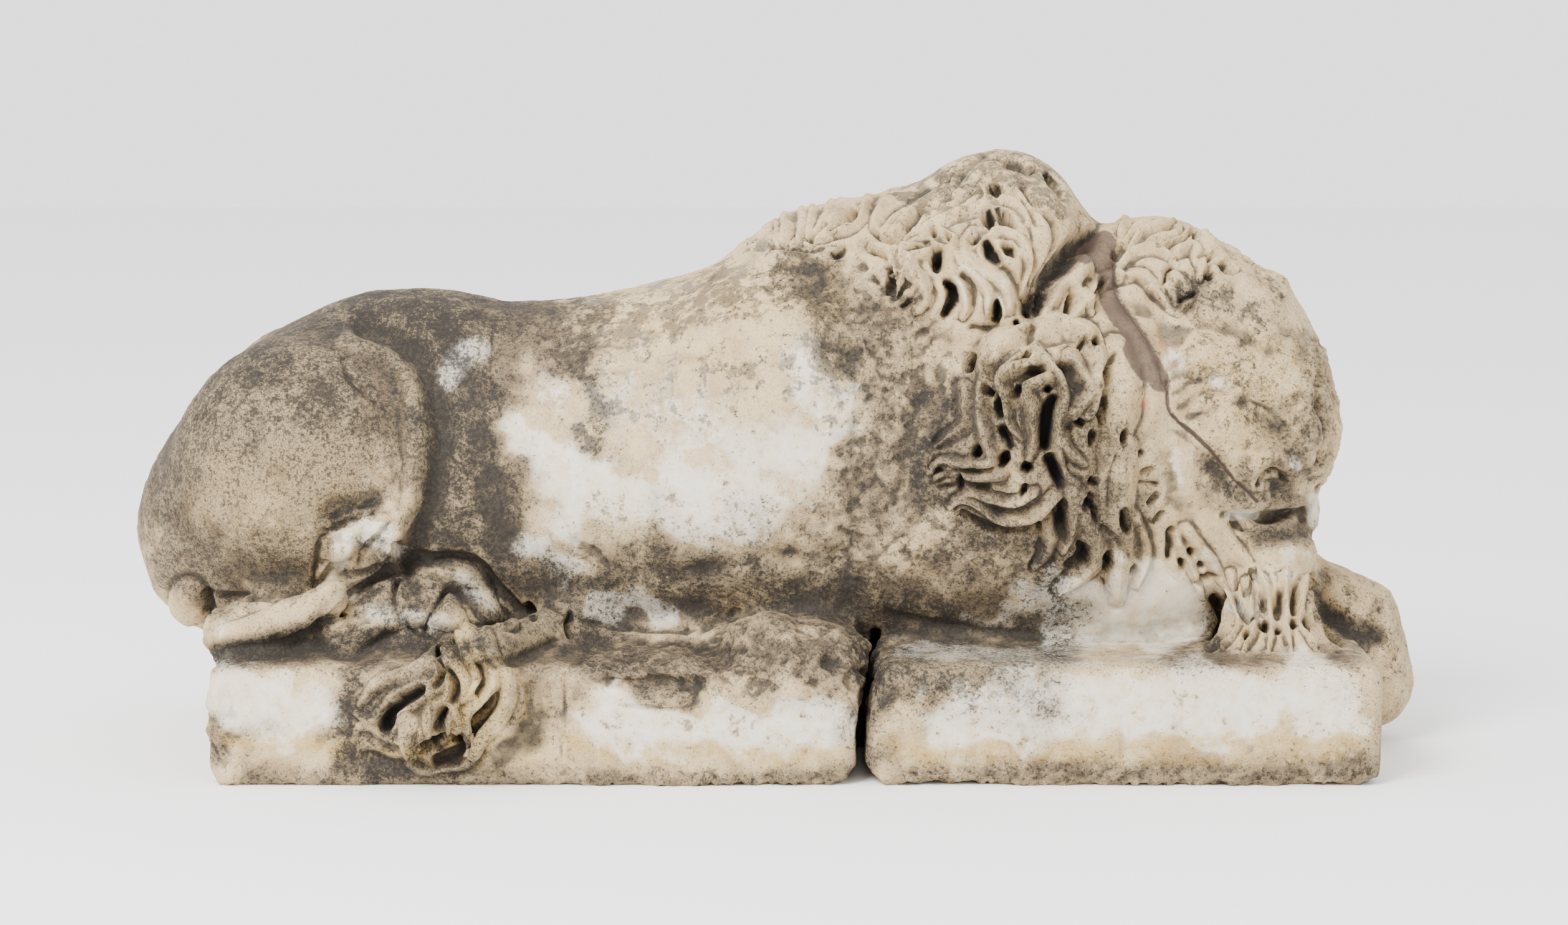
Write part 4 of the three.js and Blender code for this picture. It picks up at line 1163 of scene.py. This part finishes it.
waves = (  # what makes the edges of the stains and the painted shade wander: pixels across, pixels of shift
    (190, 20),
    (113, 14),
    (67, 10),
    (41, 7),
)
painting = {
    "broadStain": 60,  # pixels; from this width on, stains and painted shade wander
    "core": 0.05,  # widths from its line where a stain starts to fade
    "rim": 0.85,
    "turnRounds": 4,
    "turnedAway": -0.3,  # no stain on a surface that faces farther away than this
    "turnedTowards": 0.2,
    "crackDark": 2,  # millimetres; a crack this deep gets its full dirt and painted shade
    "fineRounds": 6,  # small hollows, and how deep they are in metres
    "fineDepth": 0.0009,
    "fineShare": 0.65,
    "wideRounds": 40,  # broad hollows
    "wideDepth": 0.006,
    "wideShare": 0.4,
}


def wandering(u, v):
    # the places shifted by crossing waves, so that no broad stain and no painted shade keeps a plain edge
    shiftU, shiftV = np.zeros(len(u)), np.zeros(len(u))
    for turn, (length, shift) in enumerate(waves):
        pace = 2 * math.pi / length
        shiftU += shift * np.sin(pace * (v + 0.6 * u) + 1.7 * turn) * np.cos(0.7 * pace * (u - 0.4 * v))
        shiftV += shift * np.sin(pace * (u - 0.5 * v) + 2.9 * turn) * np.cos(0.8 * pace * (v + 0.3 * u))
    return u + shiftU, v + shiftV


def paintStainsAndShade(piece):
    # stores each stain and painted shade, the painted shade in the drilled channels, the dark of the cracks
    # and the hollows as values on the vertices
    mesh = piece.data
    points, normals = meshArrays(mesh)
    around = Neighbours(mesh)
    u, v, facing = mirroredView(points, around.smoothed(normals, painting["turnRounds"]))
    near = points[:, 1] < photoSideLimit
    masks = {}
    shiftedU, shiftedV = wandering(u, v)
    for kind, places in stains.items():
        mask = np.zeros(len(points))
        for width, strength, *line in places.values():
            where = (shiftedU, shiftedV) if width >= painting["broadStain"] else (u, v)
            found, gap, _ = nearLine(*where, curveThrough(line), painting["rim"] * width)
            fade = 1 - smoothStep(painting["core"] * width, painting["rim"] * width, np.abs(gap))
            mask[found] = np.maximum(mask[found], strength * fade)
        masks[kind] = mask * smoothStep(painting["turnedAway"], painting["turnedTowards"], facing)
    masks["mortar"] *= near
    # the painted shadow of the tuft and the painted shade of the cleft join the soot, on the side that is
    # seen only
    masks["sootAndShade"] = np.maximum(masks["sootAndShade"], masks.pop("nearPaintedShade") * near)
    for kind in masks:
        masks[kind] = np.minimum(masks[kind], 1)
    _, holeShade = drillChannels(u, v, bothSides)
    _, tuftHoleShade = drillChannels(u, v, photoSideOnly)
    holeShade = np.maximum(holeShade, tuftHoleShade * near) * smoothStep(0, painting["turnedTowards"], facing)
    masks["holeShade"] = around.smoothed(holeShade, 1)
    # dirt and painted shade in the cracks, darker where they are cut deeper
    crackCut = np.zeros(len(points))
    carveCracks(u, v, cracks, crackCut)
    masks["crack"] = np.clip(crackCut / painting["crackDark"], 0, 1) * near
    # hollows, from how far the surface lies below its smoothed self: dirt and painted shade go into them, and
    # edges and crowns get wear and a painted highlight
    masks["hollow"] = np.zeros(len(points))
    for scale in ("fine", "wide"):
        depth = np.einsum("ij,ij->i", around.smoothed(points, painting[scale + "Rounds"]) - points, normals)
        masks["hollow"] += np.clip(depth / painting[scale + "Depth"], -1, 1) * painting[scale + "Share"]
    for name, mask in masks.items():
        attribute = mesh.attributes.new(name, "FLOAT", "POINT")
        attribute.data.foreach_set("value", mask.astype(np.float32))
    print("stains placed")


paintStainsAndShade(lionStone)


class Value:
    # a socket that can be used in sums
    tree = None

    def __init__(self, socket):
        self.socket = socket

    def math(self, operation, other, reflected=False):
        first, second = (other, self) if reflected else (self, other)
        return node("ShaderNodeMath", {"operation": operation}, {0: first, 1: second}).out()

    def __add__(self, other):
        return self.math("ADD", other)

    def __radd__(self, other):
        return self.math("ADD", other, True)

    def __sub__(self, other):
        return self.math("SUBTRACT", other)

    def __rsub__(self, other):
        return self.math("SUBTRACT", other, True)

    def __mul__(self, other):
        return self.math("MULTIPLY", other)

    def __rmul__(self, other):
        return self.math("MULTIPLY", other, True)

    def between(self, low, high):
        # 0 below low, 1 above high, smooth between
        settings = {"interpolation_type": "SMOOTHSTEP"}
        return node("ShaderNodeMapRange", settings, {"Value": self, "From Min": low, "From Max": high}).out(0)


class Node:
    def __init__(self, shaderNode):
        self.node = shaderNode

    def out(self, name=0):
        return Value(self.node.outputs[name])


def node(kind, settings=None, inputs=None):
    made = Value.tree.nodes.new(kind)
    for name, value in (settings or {}).items():
        setattr(made, name, value)
    for name, value in (inputs or {}).items():
        if isinstance(value, Value):
            Value.tree.links.new(value.socket, made.inputs[name])
        else:
            made.inputs[name].default_value = value
    return Node(made)


def blendColours(share, first, second):
    # the second colour where share is 1; inputs 6 and 7 are the Mix node's two colours
    settings = {"data_type": "RGBA", "clamp_factor": True}
    return node("ShaderNodeMix", settings, {0: share, 6: first, 7: second}).out(2)


marble = {
    "white": (0.70, 0.665, 0.575, 1),
    "cream": (0.56, 0.43, 0.245, 1),
    "honey": (0.35, 0.238, 0.118, 1),
    "tan": (0.105, 0.072, 0.041, 1),
    # dark brown: real crust, and painted shade
    "crustAndShade": (0.033, 0.027, 0.020, 1),
    "speck": (0.015, 0.012, 0.009, 1),
    # near black: painted shade in the drilled holes, and dirt and painted shade in the cracks
    "deep": (0.005, 0.004, 0.003, 1),
    "ochre": (0.42, 0.27, 0.07, 1),
    "mortar": (0.080, 0.052, 0.037, 1),
    "red": (0.36, 0.05, 0.02, 1),
    "grainBump": 0.6,
    "grainHeight": 0.0015,
    "reflection": 0.35,
    "patternRange": (0.34, 0.66),  # nearly all of a noise's values lie between these
}
patterns = {  # noise: scale, detail, roughness, distortion
    "broad": (9, 6, 0.6, 0),
    "ragged": (27, 9, 0.68, 0.4),
    "mottling": (80, 7, 0.72, 0),
    "grain": (330, 4, 0.75, 0),
    "dust": (850, 2, 0.6, 0),
}
cover = {  # how much of what lies under it each layer hides where it is whole
    "brown": 0.92,
    "clean": 0.92,
    "creamInWhite": 0.75,
    "ochre": 0.85,
    "rubbedAndHighlit": 0.3,
    "tone": 0.75,
    "crustAndShade": 0.8,
    "lichen": 0.62,
    "specks": 0.7,
    "red": 0.9,
    "holeShade": 0.95,
    "crack": 0.5,
}


def noise(scale, detail, roughness, distortion):
    coordinates = node("ShaderNodeTexCoord").out("Object")
    inputs = {"Vector": coordinates, "Scale": scale, "Detail": detail, "Roughness": roughness,
              "Distortion": distortion}
    return node("ShaderNodeTexNoise", None, inputs).out(0)


def patchy(pattern, coverage, edge):
    # 1 over the share of the surface that coverage gives, in patches of the pattern's shape
    low, high = marble["patternRange"]
    spread = node("ShaderNodeMapRange", None, {"Value": pattern, "From Min": low, "From Max": high}).out(0)
    return (spread + coverage - 1).between(-edge, edge)


def attributeValue(name):
    return node("ShaderNodeAttribute", {"attribute_name": name}).out("Fac")


def marbleMaterial():
    material = bpy.data.materials.new("weathered_marble")
    material.use_nodes = True
    Value.tree = material.node_tree
    Value.tree.nodes.clear()
    # the soot values hold real soot and painted shade under and between parts
    sootAndShade, bare, honey = attributeValue("sootAndShade"), attributeValue("bare"), attributeValue("honey")
    hollow, holeShade, crack = attributeValue("hollow"), attributeValue("holeShade"), attributeValue("crack")
    ochre, mortar = attributeValue("ochre"), attributeValue("mortar")
    spots, red = attributeValue("spots"), attributeValue("red")
    broad, ragged, mottling, grain, dust = [noise(*pattern) for pattern in patterns.values()]

    colour = blendColours(ragged.between(0.38, 0.66), marble["cream"], marble["honey"])
    # browner with the honey tone, with soot and with painted shade
    brownedAndShaded = 0.1 + honey - bare * 0.5 + sootAndShade * 0.85
    brownedAndShaded = patchy(mottling * 0.5 + broad * 0.5, brownedAndShaded, 0.38)
    colour = blendColours(brownedAndShaded * cover["brown"], colour, marble["tan"])
    cleaned = patchy(ragged * 0.4 + mottling * 0.35 + broad * 0.25, 0.04 + bare - honey * 0.1, 0.16)
    creamy = mottling.between(0.36, 0.7) * cover["creamInWhite"]
    pale = blendColours(creamy, marble["white"], marble["cream"])
    colour = blendColours(cleaned * cover["clean"], colour, pale)
    yellowed = ochre * mottling.between(0.3, 0.6)
    colour = blendColours(yellowed * cover["ochre"], colour, marble["ochre"])

    rubbedAndHighlit = (0 - hollow).between(0.1, 0.8)  # edges and crowns: worn lighter, with a painted highlight
    colour = blendColours(rubbedAndHighlit * cover["rubbedAndHighlit"], colour, marble["cream"])
    # dirt and painted shade: darker in the hollows
    dirtAndShade = hollow.between(0.02, 0.9) * (0.1 + 1.5 * (ragged * 0.4 + mottling * 0.6))
    colour = blendColours(dirtAndShade * (1 - cleaned * 0.6), colour, marble["crustAndShade"])

    # soft toning of soot and painted shade
    tonedAndShaded = sootAndShade * (ragged * 0.6 + mottling * 0.4).between(0.3, 0.62)
    colour = blendColours(tonedAndShaded * cover["tone"], colour, marble["crustAndShade"])
    # crust and painted shade in patches, more with soot, painted shade and hollows
    sootAndShadeCover = 0.02 + sootAndShade * 0.6 - bare * 0.2 + hollow * 0.12
    crustedAndShaded = patchy(ragged * 0.3 + mottling * 0.27 + grain * 0.25 + dust * 0.18, sootAndShadeCover, 0.17)
    colour = blendColours(crustedAndShaded * cover["crustAndShade"], colour, marble["crustAndShade"])
    lichen = patchy(mottling * 0.65 + ragged * 0.2 + grain * 0.15, spots * 0.58, 0.1)
    colour = blendColours(lichen * cover["lichen"], colour, marble["crustAndShade"])
    speckling = 0.18 + sootAndShade * 0.28 + honey * 0.2 - bare * 0.1 + spots * 0.06
    specked = patchy(grain * 0.8 + mottling * 0.2, speckling, 0.1)
    colour = blendColours(specked * cover["specks"], colour, marble["speck"])
    peppered = dust.between(0.46, 0.66) * (0.25 + 0.5 * honey + 0.25 * sootAndShade - 0.2 * cleaned)
    colour = blendColours(peppered, colour, marble["speck"])
    colour = blendColours(red * cover["red"], colour, marble["red"])
    filled = (mortar + (mottling - 0.5) * 0.9).between(0.3, 0.5)
    colour = blendColours(filled * (0.9 + 0.4 * (grain - 0.5)), colour, marble["mortar"])
    # painted shade: near black in the deep drilled holes
    colour = blendColours(holeShade.between(0.3, 0.8) * cover["holeShade"], colour, marble["deep"])
    # dirt and painted shade darken the cracks
    colour = blendColours(crack.between(0.3, 0.9) * cover["crack"], colour, marble["deep"])

    rough = 0.9 - 0.3 * cleaned
    relief = mottling * 0.5 + grain * 0.35 + dust * 0.15 - specked * 0.1
    bump = node("ShaderNodeBump", None, {
        "Strength": marble["grainBump"],
        "Distance": marble["grainHeight"],
        "Height": relief,
    })
    shader = node("ShaderNodeBsdfPrincipled", None, {
        "Base Color": colour,
        "Roughness": rough,
        "Normal": bump.out(),
        "Specular IOR Level": marble["reflection"],
    })
    output = node("ShaderNodeOutputMaterial")
    Value.tree.links.new(shader.node.outputs[0], output.node.inputs["Surface"])
    return material


lionStone.data.materials.clear()
lionStone.data.materials.append(marbleMaterial())
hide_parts("lion")
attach(lionStone, "root")
print("marble finished")

studio = {
    "floorSize": 14,
    "floorColour": (0.93, 0.93, 0.93, 1),
    "floorRoughness": 0.9,
    "backdropLight": 2.1,
    "keyPower": 290,
    "keySize": 1.6,
    "keyPlace": (-1.6, -2.6, 2.9),
    "fillPower": 8,
    "fillSize": 3.0,
    "fillPlace": (2.6, -2.4, 1.6),
}


def addFloor():
    bpy.ops.mesh.primitive_plane_add(size=studio["floorSize"], location=(0, 0, 0))
    floor = bpy.context.object
    floor.name = "floor"
    material = bpy.data.materials.new("paleFloor")
    material.use_nodes = True
    surface = material.node_tree.nodes["Principled BSDF"]
    surface.inputs["Base Color"].default_value = studio["floorColour"]
    surface.inputs["Roughness"].default_value = studio["floorRoughness"]
    floor.data.materials.append(material)


def addSoftLight(name, place, power, size):
    bpy.ops.object.light_add(type="AREA", location=place)
    light = bpy.context.object
    light.name = name
    light.data.energy = power
    light.data.size = size
    aim = Vector((view["aimX"], 0, view["aimZ"])) - Vector(place)
    light.rotation_euler = aim.to_track_quat("-Z", "Y").to_euler()


def lightRoom():
    world = bpy.data.worlds.new("paleRoom")
    world.use_nodes = True
    world.node_tree.nodes["Background"].inputs["Color"].default_value = (1, 1, 1, 1)
    world.node_tree.nodes["Background"].inputs["Strength"].default_value = studio["backdropLight"]
    bpy.context.scene.world = world


addFloor()
addSoftLight("keyLight", studio["keyPlace"], studio["keyPower"], studio["keySize"])
addSoftLight("fillLight", studio["fillPlace"], studio["fillPower"], studio["fillSize"])
lightRoom()
print("studio lit")
